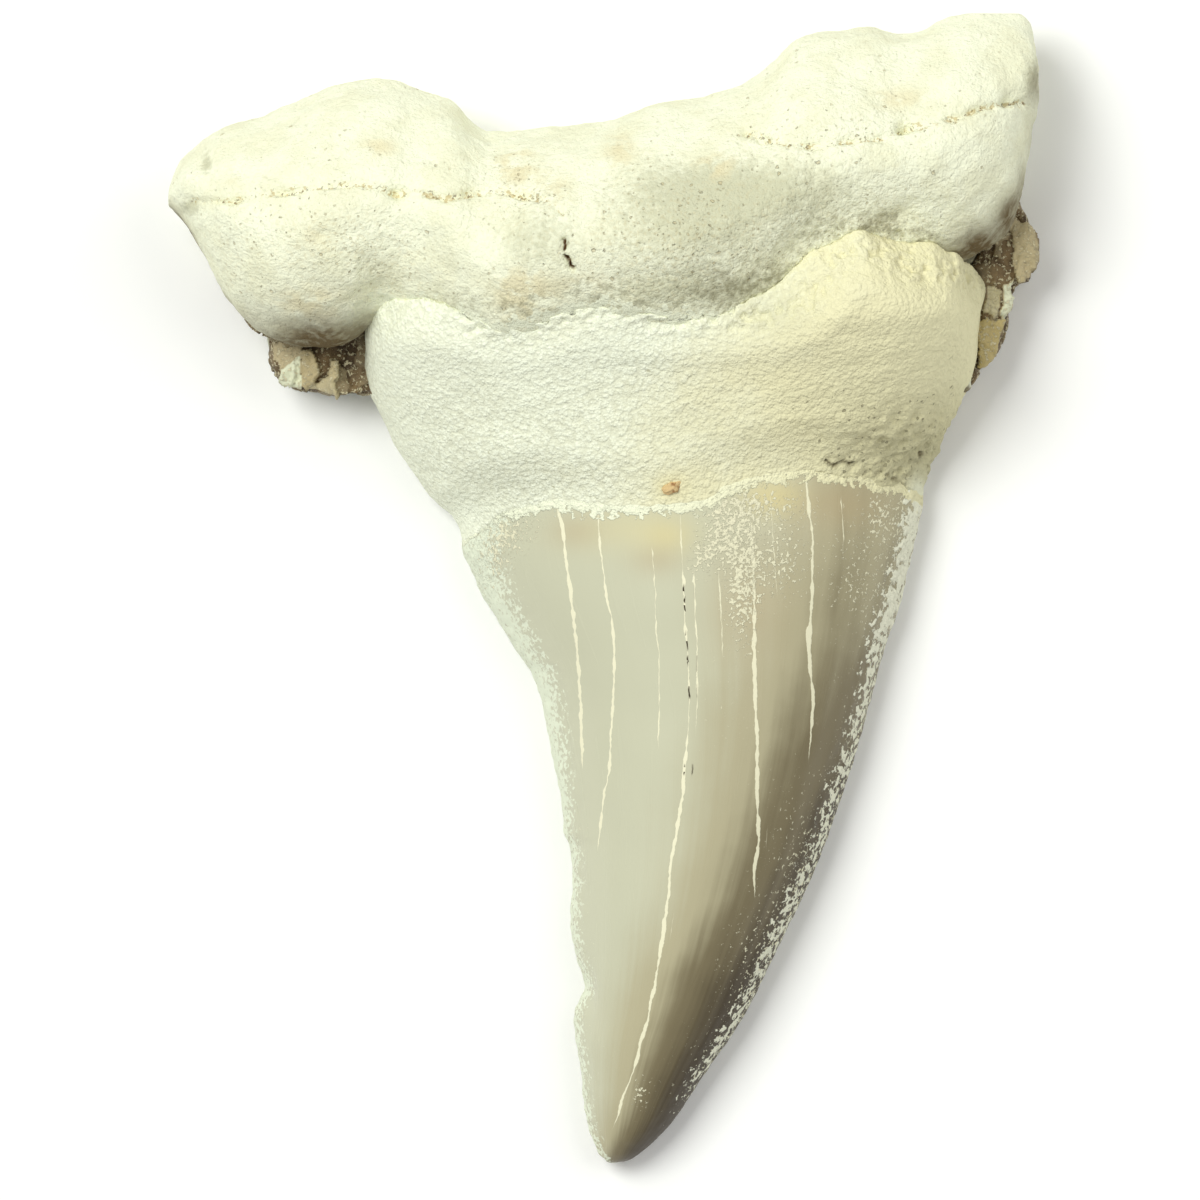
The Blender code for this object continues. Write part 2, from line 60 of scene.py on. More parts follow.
def readCurve(points, at):
    # smooth curve through the drawn points, read at many places, with no overshoot
    x, y = np.array(sorted(points), float).T
    slopes = np.diff(y) / np.diff(x)
    before, after = slopes[:-1], slopes[1:]
    same = before * after > 0
    middle = np.where(same, 2 * before * after / np.where(same, before + after, 1), 0)
    tangents = np.concatenate([[slopes[0]], middle, [slopes[-1]]])
    at = np.clip(np.asarray(at, float), x[0], x[-1])
    k = np.clip(np.searchsorted(x, at) - 1, 0, len(slopes) - 1)
    gap = x[k + 1] - x[k]
    t = (at - x[k]) / gap
    a, b, c, d = y[k], y[k + 1], tangents[k] * gap, tangents[k + 1] * gap
    return a + c * t + (3 * (b - a) - 2 * c - d) * t**2 + (2 * (a - b) + c + d) * t**3


def readColumn(rows, k, at):
    # one column of a table whose rows begin with the place along the tooth
    return readCurve([(row[0], row[k]) for row in rows], at)


def readSteps(table, at):
    # straight lines through the table
    return np.interp(at, *zip(*table))


def smoothRing(points, count):
    # closed curve through the points
    pts = np.array(points, float)
    place = np.arange(count) * len(pts) / count
    k, t = place.astype(int), (place % 1)[:, None]
    a, b, c, d = (pts[(k + shift) % len(pts)] for shift in (-1, 0, 1, 2))
    return 0.5 * (2 * b + (c - a) * t + (2 * a - 5 * b + 4 * c - d) * t**2 + (3 * b - a - 3 * c + d) * t**3)


def ledge(value, low, high):
    # soft step from 0 to 1
    t = np.clip((value - low) / (high - low), 0, 1)
    return t * t * (3 - 2 * t)


def spreadToEnds(low, high, count):
    # places between low and high, closer together towards both ends
    return (low + high) / 2 - (high - low) / 2 * np.cos(np.linspace(0, math.pi, count))


def addObject(name, mesh):
    obj = bpy.data.objects.new(name, mesh)
    bpy.context.scene.collection.objects.link(obj)
    return obj


def meshFrom(name, places, faces):
    # places in drawn millimetres become a mesh in metres over the origin
    moved = (np.asarray(places, float) - drawnMiddle) * mm
    mesh = bpy.data.meshes.new(name)
    mesh.from_pydata(moved.tolist(), [], faces)
    tidied = bmesh.new()
    tidied.from_mesh(mesh)
    bmesh.ops.recalc_face_normals(tidied, faces=tidied.faces[:])
    tidied.to_mesh(mesh)
    tidied.free()
    return mesh


def loft(name, rings):
    # closed body through rows of points
    rows, count = len(rings), len(rings[0])
    faces = []
    for row in range(rows - 1):
        for k in range(count):
            a, b = row * count + k, row * count + (k + 1) % count
            faces.append((a, b, b + count, a + count))
    faces.append(tuple(range(count)))
    faces.append(tuple(range((rows - 1) * count, rows * count)))
    return addObject(name, meshFrom(name, np.concatenate(rings), faces))


def prism(name, outline, low, high):
    # outline in plan, raised from low to high
    count = len(outline)
    places = [(x, y, low) for x, y in outline] + [(x, y, high) for x, y in outline]
    faces = [tuple(range(count)), tuple(range(count, 2 * count))]
    faces += [(k, (k + 1) % count, (k + 1) % count + count, k + count) for k in range(count)]
    return addObject(name, meshFrom(name, places, faces))


def freeze(obj):
    # the mesh becomes what the modifiers make of it
    bpy.context.view_layer.update()
    mesh = bpy.data.meshes.new_from_object(obj.evaluated_get(bpy.context.evaluated_depsgraph_get()))
    obj.modifiers.clear()
    old, obj.data = obj.data, mesh
    bpy.data.meshes.remove(old)


def evenOut(obj, voxel, passes):
    # one skin of even faces, with its corners a little worn
    remesh = obj.modifiers.new("evenFaces", "REMESH")
    remesh.mode = "VOXEL"
    remesh.voxel_size = voxel * mm
    if passes:
        smooth = obj.modifiers.new("wornCorners", "SMOOTH")
        smooth.factor, smooth.iterations = 0.5, passes
    freeze(obj)


def cut(obj, other, operation="INTERSECT"):
    modifier = obj.modifiers.new("cut", "BOOLEAN")
    modifier.operation, modifier.solver, modifier.object = operation, "MANIFOLD", other
    freeze(obj)


def copyOf(obj, name):
    return addObject(name, obj.data.copy())


def remove(*objects):
    for obj in objects:
        bpy.data.objects.remove(obj)


def placesOf(mesh):
    # places in drawn millimetres, and normals
    count = len(mesh.vertices)
    places, normals = np.empty(count * 3), np.empty(count * 3)
    mesh.vertices.foreach_get("co", places)
    mesh.vertices.foreach_get("normal", normals)
    return places.reshape(-1, 3) / mm + drawnMiddle, normals.reshape(-1, 3)


def putPlaces(mesh, places):
    moved = (places - drawnMiddle) * mm
    mesh.vertices.foreach_set("co", moved.ravel())
    mesh.update()


def lumps(places, size, seed):
    # smooth unevenness between about -1 and 1, with features of that size
    shift = np.array([seed * 7.3, seed * 3.1, seed * 5.7])
    return np.array([noise.noise(p) for p in places / size + shift])


def uneven(places, parts):
    # lumps of several sizes added up: size, height, seed
    return sum(height * lumps(places, size, seed) for size, height, seed in parts)


def cellNumbers(places, size, seed, stretch):
    # a steady number between 0 and 1 for each cell of a broken face
    middles = [noise.voronoi(p)[1][0] for p in places / (size * np.array(stretch)) + seed * 4.7]
    return np.array([math.sin(middle.dot(Vector((12.9, 78.2, 37.7)))) * 43758.5 % 1 for middle in middles])


def relax(mesh, share, passes):
    # each vertex moves towards the middle of its neighbours, by its share
    places = placesOf(mesh)[0]
    ends = np.empty(len(mesh.edges) * 2, dtype=int)
    mesh.edges.foreach_get("vertices", ends)
    first, second = ends.reshape(-1, 2).T
    count = np.bincount(ends, minlength=len(places))
    for _ in range(passes):
        for axis in range(3):
            total = np.bincount(first, places[second, axis], len(places))
            total += np.bincount(second, places[first, axis], len(places))
            places[:, axis] += share * (total / count - places[:, axis])
    putPlaces(mesh, places)


def distanceToLine(x, y, line):
    nearest = np.full(len(x), 1e9)
    for (ax, ay), (bx, by) in zip(line, line[1:]):
        dx, dy = bx - ax, by - ay
        t = np.clip(((x - ax) * dx + (y - ay) * dy) / (dx * dx + dy * dy), 0, 1)
        nearest = np.minimum(nearest, np.hypot(x - ax - t * dx, y - ay - t * dy))
    return nearest


def distanceToLines(x, y, lines):
    return np.min([distanceToLine(x, y, line) for line in lines], axis=0)


def softSpot(x, y, spotX, spotY, across, along):
    return np.exp(-(((x - spotX) / across) ** 2) - ((y - spotY) / along) ** 2)


def spread(x, y, spots):
    # how strongly a row of soft spots covers each place: x, y, reach across, reach along, strength
    total = np.zeros(len(x))
    for *spot, strength in spots:
        total += strength * softSpot(x, y, *spot)
    return np.clip(total, 0, 1.2)


def insideOutline(x, y, outline):
    inside = np.zeros(len(x), bool)
    for (ax, ay), (bx, by) in zip(outline, outline[1:] + outline[:1]):
        crosses = (ay > y) != (by > y)
        inside ^= crosses & (x < (bx - ax) * (y - ay) / (by - ay if by != ay else 1e-9) + ax)
    return inside


def setFields(mesh, **fields):
    # values at each vertex that the materials read by name
    for name, values in fields.items():
        field = mesh.attributes.new(name, "FLOAT", "POINT")
        field.data.foreach_set("value", np.asarray(values, np.float32))


root = dict(
    thickness=16.6,
    # upper edge of the root, from the left lobe to the right one: x, y
    top=[
        (-24.85, 22.5), (-24.6, 23.5), (-24.1, 24.5), (-22.8, 25.5), (-21.3, 26.4), (-19.8, 26.75),
        (-18.6, 27.3), (-17.6, 27.6), (-16.4, 28.1), (-15.3, 28.5), (-14.2, 28.7), (-13.0, 28.7),
        (-12.3, 28.7), (-11.0, 28.4), (-10.1, 28.2), (-9.3, 28.0), (-8.5, 27.6), (-8.0, 26.9),
        (-7.5, 26.2), (-6.6, 25.8), (-5.8, 25.8), (-4.6, 26.0), (-2.0, 26.1), (0.3, 26.4),
        (1.6, 26.8), (3.3, 27.3), (5.4, 27.8), (7.2, 28.4), (8.7, 29.0), (9.8, 29.9),
        (10.7, 30.9), (11.8, 31.4), (13.1, 31.7), (14.8, 31.75), (16.5, 31.4), (18.0, 31.6),
        (18.9, 32.1), (19.9, 32.4), (21.2, 32.5), (22.6, 32.5), (23.5, 32.4), (24.0, 31.9),
        (24.3, 31.0), (24.4, 29.4),
    ],
    # lower edge of its bulge, which runs on under the crust: x, y
    bottom=[
        (-24.85, 21.7), (-24.1, 21.0), (-23.3, 19.9), (-22.6, 18.7), (-22.0, 17.3), (-21.1, 15.9),
        (-19.9, 14.7), (-18.7, 14.0), (-17.2, 13.75), (-15.8, 13.75), (-14.4, 14.15), (-13.5, 14.7),
        (-12.4, 14.9), (-11.0, 14.3), (-9.3, 13.5), (-7.9, 12.6), (-6.2, 12.1), (-4.2, 12.3),
        (-2.2, 12.9), (-0.3, 13.4), (1.7, 12.9), (3.7, 12.6), (5.7, 12.9), (7.6, 13.6), (9.3, 14.4),
        (11.0, 15.3), (13.3, 16.3), (15.6, 17.0), (17.8, 17.7), (19.5, 18.2), (20.7, 18.7),
        (21.8, 19.4), (22.8, 20.5), (23.4, 22.0), (23.8, 23.9), (24.1, 26.0), (24.3, 27.6),
        (24.4, 28.2),
    ],
    # height of its highest line, as a share of the thickness: x, share
    front=[
        (-24.85, 0.40), (-23.6, 0.56), (-21.5, 0.70), (-18.0, 0.80), (-15.0, 0.83), (-11.5, 0.82),
        (-8.0, 0.90), (-3.0, 0.98), (3.0, 1.00), (8.0, 0.95), (12.0, 0.87), (17.0, 0.80),
        (20.5, 0.74), (22.8, 0.62), (24.0, 0.50), (24.4, 0.42),
    ],
    # height of its flat outer face: x, height
    back=[
        (-24.85, 4.2), (-23.6, 2.2), (-21.5, 0.7), (-17.5, -0.25), (-11.0, 0.1), (-6.0, 0.8),
        (2.0, 0.9), (9.0, 0.3), (16.0, -0.25), (20.5, 0.3), (23.0, 1.4), (24.0, 2.6), (24.4, 3.4),
    ],
    # cross-section: share of the way down, share of the way out
    section=[
        (0.00, 0.36), (0.03, 0.50), (0.10, 0.65), (0.20, 0.78), (0.30, 0.88), (0.38, 0.945),
        (0.50, 1.00), (0.60, 0.985), (0.69, 0.94), (0.77, 0.885), (0.84, 0.82), (0.90, 0.74),
        (0.96, 0.62), (1.00, 0.46), (0.97, 0.30), (0.90, 0.12), (0.76, 0.00), (0.50, 0.00),
        (0.26, 0.02), (0.08, 0.12),
    ],
)


crown = dict(
    thickness=9.8,
    fullness=1.35,  # of the inner face, above the cutting edges
    flatness=0.55,  # of the outer face, below them
    notchReach=9,  # the higher, the closer the notches stay to the edge
    # cutting edges from inside the root to the tip: y, x
    left=[
        (19.0, -11.2), (15.0, -12.6), (12.0, -12.4), (9.5, -11.0), (6.5, -9.2), (4.0, -8.0),
        (2.3, -8.15), (1.2, -7.65), (-0.4, -6.9), (-2.0, -5.92), (-3.5, -5.02), (-4.6, -4.25),
        (-6.0, -3.7), (-8.0, -3.25), (-10.0, -2.85), (-12.0, -2.5), (-13.9, -2.35), (-14.6, -1.95),
        (-16.5, -1.85), (-18.5, -1.95), (-20.2, -1.8), (-21.5, -1.45), (-22.6, -1.25),
        (-23.3, -1.5), (-24.2, -1.8), (-25.3, -1.7), (-27.0, -1.45), (-29.0, -1.25), (-30.2, -1.0),
        (-31.2, -0.7), (-31.9, -0.4), (-32.5, 0.1),
    ],
    right=[
        (19.0, 20.6), (15.0, 20.9), (12.0, 19.9), (9.5, 18.4), (7.4, 17.6), (5.0, 17.95),
        (2.8, 17.5), (0.8, 17.0), (-1.0, 16.6), (-3.0, 15.9), (-5.0, 15.32), (-7.0, 14.78),
        (-9.0, 14.22), (-11.0, 13.58), (-13.0, 12.9), (-15.0, 12.2), (-17.5, 11.1), (-20.0, 9.9),
        (-22.5, 8.7), (-25.0, 7.3), (-27.0, 5.9), (-28.5, 4.9), (-30.0, 3.9), (-31.0, 3.05),
        (-31.8, 2.2), (-32.3, 1.5), (-32.5, 0.9),
    ],
    # y, share of the thickness, height of the cutting edges, height of the outer face
    heights=[
        (19.0, 0.86, 2.2, 0.4), (14.0, 0.99, 2.1, 0.1), (9.0, 1.00, 1.9, -0.1), (3.0, 0.97, 1.8, -0.25),
        (-4.0, 0.92, 1.7, -0.3), (-11.0, 0.85, 1.7, -0.25), (-18.0, 0.76, 1.7, -0.1),
        (-24.0, 0.63, 1.7, 0.2), (-28.5, 0.50, 1.7, 0.5), (-31.0, 0.38, 1.65, 0.8),
        (-32.1, 0.28, 1.6, 1.1), (-32.5, 0.21, 1.55, 1.3),
    ],
)


shoulder = dict(
    base=0.4,
    top=4.2,
    # flat foot that carried the side cusps, in plan: x, y
    outline=[
        (-19.7, 16.5), (-19.15, 14.1), (-18.95, 12.9), (-18.6, 12.2), (-18.1, 11.6), (-17.3, 11.3),
        (-15.9, 11.1), (-14.3, 11.05), (-13.2, 11.2), (-9.0, 9.5), (0.0, 8.0), (12.0, 8.5),
        (18.8, 10.5), (20.4, 11.4), (21.2, 12.4), (22.0, 13.3), (22.6, 14.6), (22.85, 16.5),
        (23.0, 17.35), (24.0, 17.55), (24.2, 18.6), (24.2, 19.8), (23.8, 20.8), (23.2, 21.7),
        (20.0, 22.0), (0.0, 19.0), (-17.0, 17.5),
    ],
)


skin = dict(
    voxel=0.18,
    enamelDepth=1.5,  # the outer face is enamel up to this height
    # where the outer face is enamel, in plan: x, y
    outerEnamel=[
        (26, -40), (26, 23.0), (18, 20.6), (10, 19.6), (2, 19.4), (-6, 18.6), (-14, 16.6),
        (-20.5, 15.0), (-26, 13.6), (-26, -40),
    ],
    innerEnamel=[(-12.2, -40), (19.8, -40), (19.8, 10.0), (-12.2, 10.0)],  # it ends under the crust
    overlap=0.2,  # of the two, in height
    lowest=-2,  # both reach past the tooth, down and up
    highest=20,
    stumpTop=5.0,
    leftStump=[(-22, 9), (-12.6, 9), (-12.6, 15.3), (-22, 15.3)],
    rightStump=[(20.5, 9), (26, 9), (26, 22.4), (23.0, 22.4), (20.5, 18.0)],
)


def rootShape():
    down, out = smoothRing(root["section"], 110).T
    rings = []
    for x in spreadToEnds(root["top"][0][0], root["top"][-1][0], 170):
        top, bottom, back = (readCurve(root[k], x) for k in ("top", "bottom", "back"))
        front = readCurve(root["front"], x) * root["thickness"]
        y, z = top + (bottom - top) * down, back + (front - back) * out
        rings.append(np.column_stack([np.full(len(down), x), y, z]))
    return loft("rootShape", rings)


def evenLimit(side, y):
    # that cutting edge without its small notches
    reach = np.minimum(2.5, 0.25 * (y - crown[side][-1][0]))
    return np.mean([readCurve(crown[side], y + reach * step) for step in np.linspace(-1, 1, 7)], axis=0)


def crownShape():
    rings = []
    angles = np.linspace(0, 2 * math.pi, 150, endpoint=False)
    across, rise = np.cos(angles), np.sin(angles)
    for y in spreadToEnds(crown["left"][0][0], crown["left"][-1][0], 240):
        share, edge, back = (readColumn(crown["heights"], k, y) for k in (1, 2, 3))
        front = share * crown["thickness"]
        upper = edge + (front - edge) * np.maximum(rise, 0) ** crown["fullness"]
        lower = edge - (edge - back) * np.maximum(-rise, 0) ** crown["flatness"]
        left, right = readCurve(crown["left"], y), readCurve(crown["right"], y)
        evenLeft, evenRight = evenLimit("left", y), evenLimit("right", y)
        x = (evenLeft + evenRight) / 2 + (evenRight - evenLeft) / 2 * across
        x += (left - evenLeft) * np.maximum(-across, 0) ** crown["notchReach"]
        x += (right - evenRight) * np.maximum(across, 0) ** crown["notchReach"]
        rings.append(np.column_stack([x, np.full(len(x), y), np.where(rise >= 0, upper, lower)]))
    return loft("crownShape", rings)


def wholeTooth():
    # root, crown and foot as one skin
    foot = prism("footShape", shoulder["outline"], shoulder["base"], shoulder["top"])
    shapes = [rootShape(), crownShape(), foot]
    gathered = bmesh.new()
    for shape in shapes:
        gathered.from_mesh(shape.data)
    mesh = bpy.data.meshes.new("wholeTooth")
    gathered.to_mesh(mesh)
    gathered.free()
    remove(*shapes)
    tooth = addObject("wholeTooth", mesh)
    evenOut(tooth, skin["voxel"], 4)
    return tooth


def pieceOf(tooth, name, *bodies, operation="INTERSECT"):
    piece = copyOf(tooth, name)
    for body in bodies:
        cut(piece, body, operation)
    return piece


print("shaping the tooth")
tooth = wholeTooth()
depth = skin["enamelDepth"]
enamelZone = prism("enamelZone", skin["outerEnamel"], skin["lowest"], depth)
innerZone = prism("innerZone", skin["innerEnamel"], depth - skin["overlap"], skin["highest"])
cut(enamelZone, innerZone, "UNION")
leftZone = prism("leftZone", skin["leftStump"], depth, skin["stumpTop"])
rightZone = prism("rightZone", skin["rightStump"], depth, skin["stumpTop"])
crownPiece = pieceOf(tooth, "crown", enamelZone)
leftPiece = pieceOf(tooth, "leftStump", leftZone)
rightPiece = pieceOf(tooth, "rightStump", rightZone)
rootPiece = pieceOf(tooth, "root", enamelZone, leftZone, rightZone, operation="DIFFERENCE")
remove(enamelZone, innerZone, leftZone, rightZone)


sand = dict(
    height=14.2,
    edge=1.3,  # height of its lower rim
    base=0.8,
    voxel=0.152,
    swells=[(3.4, 0.10, 5), (1.4, 0.05, 6)],  # size, height, seed
    bed=0.35,  # how deep it goes into the tooth's skin
    # sides over the cutting edges: y, left x, right x
    sides=[
        (1.0, -8.2, 17.6), (2.4, -8.4, 17.8), (3.5, -8.8, 18.0), (4.4, -9.4, 18.15), (5.4, -10.15, 18.3),
        (6.4, -10.8, 18.5), (7.3, -11.4, 18.7), (8.2, -12.0, 19.0), (9.2, -12.5, 19.5),
        (10.1, -13.0, 19.95), (11.0, -13.4, 20.4), (12.0, -13.65, 20.85), (13.2, -13.7, 21.05),
        (14.6, -13.7, 21.1), (16.0, -13.65, 21.2), (17.4, -13.5, 21.35), (18.6, -13.0, 21.4),
        (21.0, -11.0, 20.7),
    ],
    # form along the tooth: y, share of the height, sharpness of the crest, steepness of the sides
    form=[
        (1.0, 0.715, 2.0, 0.62), (4.6, 0.73, 2.0, 0.60), (6.0, 0.745, 2.1, 0.56), (8.0, 0.77, 2.3, 0.48),
        (10.0, 0.81, 2.5, 0.40), (12.0, 0.875, 2.9, 0.33), (14.0, 0.97, 3.3, 0.27),
        (15.6, 1.035, 3.4, 0.26), (18.0, 1.04, 3.3, 0.28), (21.0, 1.04, 3.2, 0.30),
    ],
    tongue=(15.4, 18.6, 5.0, 3.0),  # x, y, reach across, reach along
    tongueHeight=0.6,
    # upper border, where the rock thins out on the root: x, y
    upperBorder=[
        (-14.5, 15.4), (-13.2, 16.0), (-12.3, 16.3), (-10.0, 16.1), (-8.2, 15.4), (-6.5, 14.8),
        (-4.2, 15.0), (-2.5, 15.6), (-0.3, 16.2), (2.0, 15.5), (4.2, 15.2), (6.8, 15.2), (9.2, 15.5),
        (11.3, 16.3), (11.9, 17.4), (12.6, 18.4), (13.9, 18.9), (15.6, 18.9), (16.8, 18.4),
        (18.2, 18.0), (20.1, 17.8), (21.3, 17.3),
    ],
    rightSide=[(22.0, 16.2), (22.0, 12.0), (20.0, 6.6)],
    # lower border, where the rock thins out on the enamel: x, y
    lowerBorder=[
        (-9.6, 1.8), (-8.2, 2.4), (-6.0, 4.2), (-4.3, 4.5), (-3.7, 4.85), (-2.8, 4.75), (-0.3, 4.5),
        (2.6, 4.6), (4.8, 4.7), (6.0, 5.0), (7.0, 5.7), (8.5, 6.2), (11.0, 6.6), (11.9, 6.7),
        (12.9, 6.3), (14.4, 6.3), (15.4, 5.8), (17.0, 5.8), (17.6, 5.3), (18.4, 4.4),
    ],
    leftSide=[(-14.5, 9.0)],  # the two sides close the plan beyond the cutting edges
    lowerReach=3.4,  # how far from each border the rock has its full height
    upperReach=2.4,
    tuck=0.02,  # how far its very edge dips under the skin that carries it
    fringe=0.62,  # reach of the crumbs on the enamel below it
    grains=[(1.3, 0.03, 21), (0.62, 0.026, 22), (0.38, 0.03, 23)],  # size, height, seed
    # the rough corner over the enamel: x from and to, y from and to, further lumps, share of extra height
    cornerX=(10, 17),
    cornerY=(8, 12.5),
    cornerLumps=[(0.45, 0.10, 25), (0.9, 0.07, 26)],
    cornerExtra=1.6,
    # open joints in that corner: x, y
    joints=[
        [(12.2, 7.3), (12.9, 7.0), (13.5, 7.2), (14.2, 6.9), (14.9, 6.5), (15.6, 6.5), (16.1, 6.2),
         (16.9, 6.2)],
        [(16.9, 6.2), (16.75, 5.4), (16.8, 4.8)],
        [(16.9, 6.2), (17.3, 7.0), (17.9, 7.6)],
    ],
    jointWander=[(0.45, 0.30, 24)],  # size, reach, seed
    jointWidth=0.09,
    jointDepth=0.20,
    # ragged upper border: reach, depth, and x from and to over which it sets in
    bareReach=0.8,
    bareDepth=0.30,
    bareX=(-10, -7),
    # painted shade that dulls the rock, most under the root's bulge and in its lower right corner: x, y,
    # reach across, reach along, strength
    dull=[
        (9.4, 15.4, 2.4, 1.5, 0.40), (-0.3, 9.0, 3.5, 1.4, 0.16), (5.3, 9.0, 3.0, 1.4, 0.22),
        (17.9, 6.6, 1.5, 1.6, 0.6), (16.4, 7.3, 1.2, 0.9, 0.2),
    ],
    rust=[(3.75, 5.75, 0.8, 0.6, 0.8)],  # rusty halo of the pebble, in the same order
    # smooth, pale ground, in the same order
    plain=[
        (17.7, 5.4, 0.6, 1.0, 1.2), (-8.0, 4.0, 1.6, 1.6, 0.8), (-11.5, 8.5, 1.2, 2.4, 0.5),
        (-11.0, 13.0, 2.6, 2.0, 0.5), (-4.8, 12.3, 3.0, 2.0, 0.5), (-0.4, 13.8, 2.4, 1.2, 0.45),
    ],
)


sandPlan = sand["upperBorder"] + sand["rightSide"] + sand["lowerBorder"][::-1] + sand["leftSide"]


rootRelief = dict(
    lumps=[(4.2, 0.32, 1), (1.7, 0.13, 2), (0.8, 0.07, 7), (0.42, 0.035, 8)],  # size, height, seed
    wornFrom=14.8,  # the highest ground, above this, has no lumps that stand up
    # crumbly furrow where the upper face meets the inner one, in two stretches: x, y
    furrows=[
        [(-23.5, 21.85), (-22.6, 21.9), (-20.5, 22.1), (-16.0, 22.7), (-13.8, 22.85), (-11.8, 22.4),
         (-10.4, 22.35), (-9.0, 22.0), (-7.6, 22.3), (-5.9, 22.45), (-4.5, 22.3), (-3.5, 21.8),
         (-2.5, 21.2)],
        [(7.9, 25.9), (8.7, 25.5), (10.4, 25.0), (12.7, 25.1), (15.5, 25.4), (16.8, 26.1), (19.5, 26.5),
         (21.4, 27.2), (23.2, 27.5), (23.8, 27.4)],
    ],
    furrowWidth=0.19,
    furrowDepth=0.40,
    furrowWander=[(0.7, 0.16, 3)],  # size, reach, seed
    dustReach=0.34,  # of the dust along the furrow
    # short open cracks: x, y
    cracks=[
        [(-2.38, 19.75), (-2.3, 19.5), (-2.35, 19.1)],
        [(-2.3, 18.7), (-2.1, 18.5), (-2.05, 18.2), (-1.85, 18.0)],
    ],
    crackWidth=0.13,
    crackDepth=0.9,
    # pits: x, y, radius, depth
    pits=[
        (-22.4, 22.0, 0.8, 0.35), (-11.8, 22.3, 0.45, 0.5), (16.85, 26.15, 0.4, 0.5),
        (-15.6, 19.8, 0.9, 0.25), (16.9, 20.9, 0.8, 0.3), (-22.7, 24.0, 0.6, 0.25),
        (22.9, 27.7, 0.4, 0.4), (7.9, 25.9, 0.4, 0.3), (-12.8, 16.9, 0.6, 0.25), (-4.7, 22.0, 0.6, 0.3),
        (16.55, 19.75, 0.25, 0.35), (-16.1, 20.0, 0.3, 0.2), (-12.6, 16.2, 0.2, 0.2),
    ],
    # stained ground, and from here on: x, y, reach across, reach along, strength
    stains=[
        (-4.9, 23.8, 1.3, 1.1, 1.1), (-12.8, 24.9, 1.2, 0.7, 0.8), (0.8, 24.7, 1.0, 1.2, 0.8),
        (6.2, 23.8, 1.2, 0.9, 0.9), (16.4, 27.7, 2.2, 0.7, 0.7), (-16.2, 20.0, 1.2, 0.9, 0.5),
        (-4.7, 16.6, 1.6, 1.5, 1.2), (-1.2, 17.1, 1.6, 0.9, 0.6), (-16.8, 16.2, 2.2, 1.1, 0.8),
        (-2.6, 22.5, 0.9, 1.4, 0.6), (15.0, 19.6, 1.0, 1.2, 0.7), (-20.8, 22.9, 1.0, 0.4, 0.5),
    ],
    # brown ground over the broken cusps, partly their own brown and partly painted shade where the lobes turn
    # under
    brown=[
        (-15.4, 14.0, 2.0, 1.6, 1.0), (-13.6, 14.8, 0.8, 1.1, 0.45), (-18.4, 13.9, 2.2, 1.3, 0.75),
        (-20.8, 15.2, 1.2, 0.8, 0.35), (19.2, 18.7, 1.2, 0.6, 0.7), (21.2, 19.5, 1.3, 1.1, 1.0),
        (22.6, 20.9, 0.8, 1.1, 0.9), (23.5, 22.8, 0.5, 1.4, 0.6), (24.2, 25.0, 0.4, 1.6, 0.5),
        (24.3, 28.4, 0.5, 1.2, 0.5), (20.2, 19.3, 1.0, 0.8, 0.30), (22.9, 21.9, 0.6, 0.8, 0.4),
    ],
    # smooth and pale
    bright=[
        (-1.1, 22.4, 0.55, 2.8, 1.0), (-2.6, 24.1, 1.3, 1.0, 0.8), (-9.0, 26.0, 3.0, 0.8, 0.4),
        (22.6, 24.4, 0.8, 1.0, 0.5),
    ],
    # painted shade, in crumbly patches, on the ground just above the crust where the root turns down to it
    dim=[
        (-9.4, 16.2, 3.0, 0.9, 0.45), (-4.4, 15.6, 2.4, 1.2, 0.62), (-0.6, 16.9, 2.0, 1.2, 0.62),
        (2.4, 16.4, 2.0, 1.4, 0.50), (6.5, 16.8, 2.3, 1.5, 1.0), (9.6, 17.4, 1.6, 1.3, 0.85),
        (11.4, 18.0, 1.0, 1.2, 0.7), (12.2, 20.2, 1.8, 1.1, 0.72), (15.4, 20.5, 1.6, 1.0, 1.05),
        (18.0, 19.8, 1.6, 0.8, 0.75), (-4.9, 16.4, 1.3, 1.0, 0.35), (1.6, 19.0, 1.8, 1.4, 0.25),
    ],
    # ground with open pores
    porous=[
        (-15.6, 19.6, 2.6, 1.6, 1.0), (-11.8, 17.5, 1.6, 2.4, 0.6), (4.0, 19.5, 6.5, 3.6, 0.8),
        (15.5, 20.0, 4.0, 2.0, 0.7), (-20.5, 19.5, 2.0, 2.6, 0.4), (-5.0, 22.8, 2.4, 1.6, 0.8),
        (12.0, 25.5, 5.0, 1.4, 0.4),
    ],
    # greyer, rougher ground, with painted shade where it runs along the root's lower edge above the crust
    grey=[
        (5.0, 20.3, 6.0, 2.6, 0.9), (5.8, 22.8, 5.0, 1.5, 0.8), (-4.2, 19.6, 2.4, 2.0, 0.7),
        (-13.0, 18.4, 2.2, 1.6, 0.5), (24.3, 28.8, 0.7, 1.2, 1.0), (-23.6, 21.5, 0.7, 0.5, 1.0),
        (-22.7, 24.2, 0.35, 0.6, 1.0), (12.0, 22.5, 4.0, 2.0, 0.5), (4.0, 16.6, 5.0, 1.4, 0.8),
        (19.5, 18.8, 3.0, 1.2, 0.8), (-8.5, 15.9, 3.0, 1.2, 0.6),
    ],
    brownBelow=(3.5, 7.5),  # the side that falls away towards the crown gets painted shade, in brown, at these heights
    fringeReach=0.8,  # of the sand on the root above the crust
)


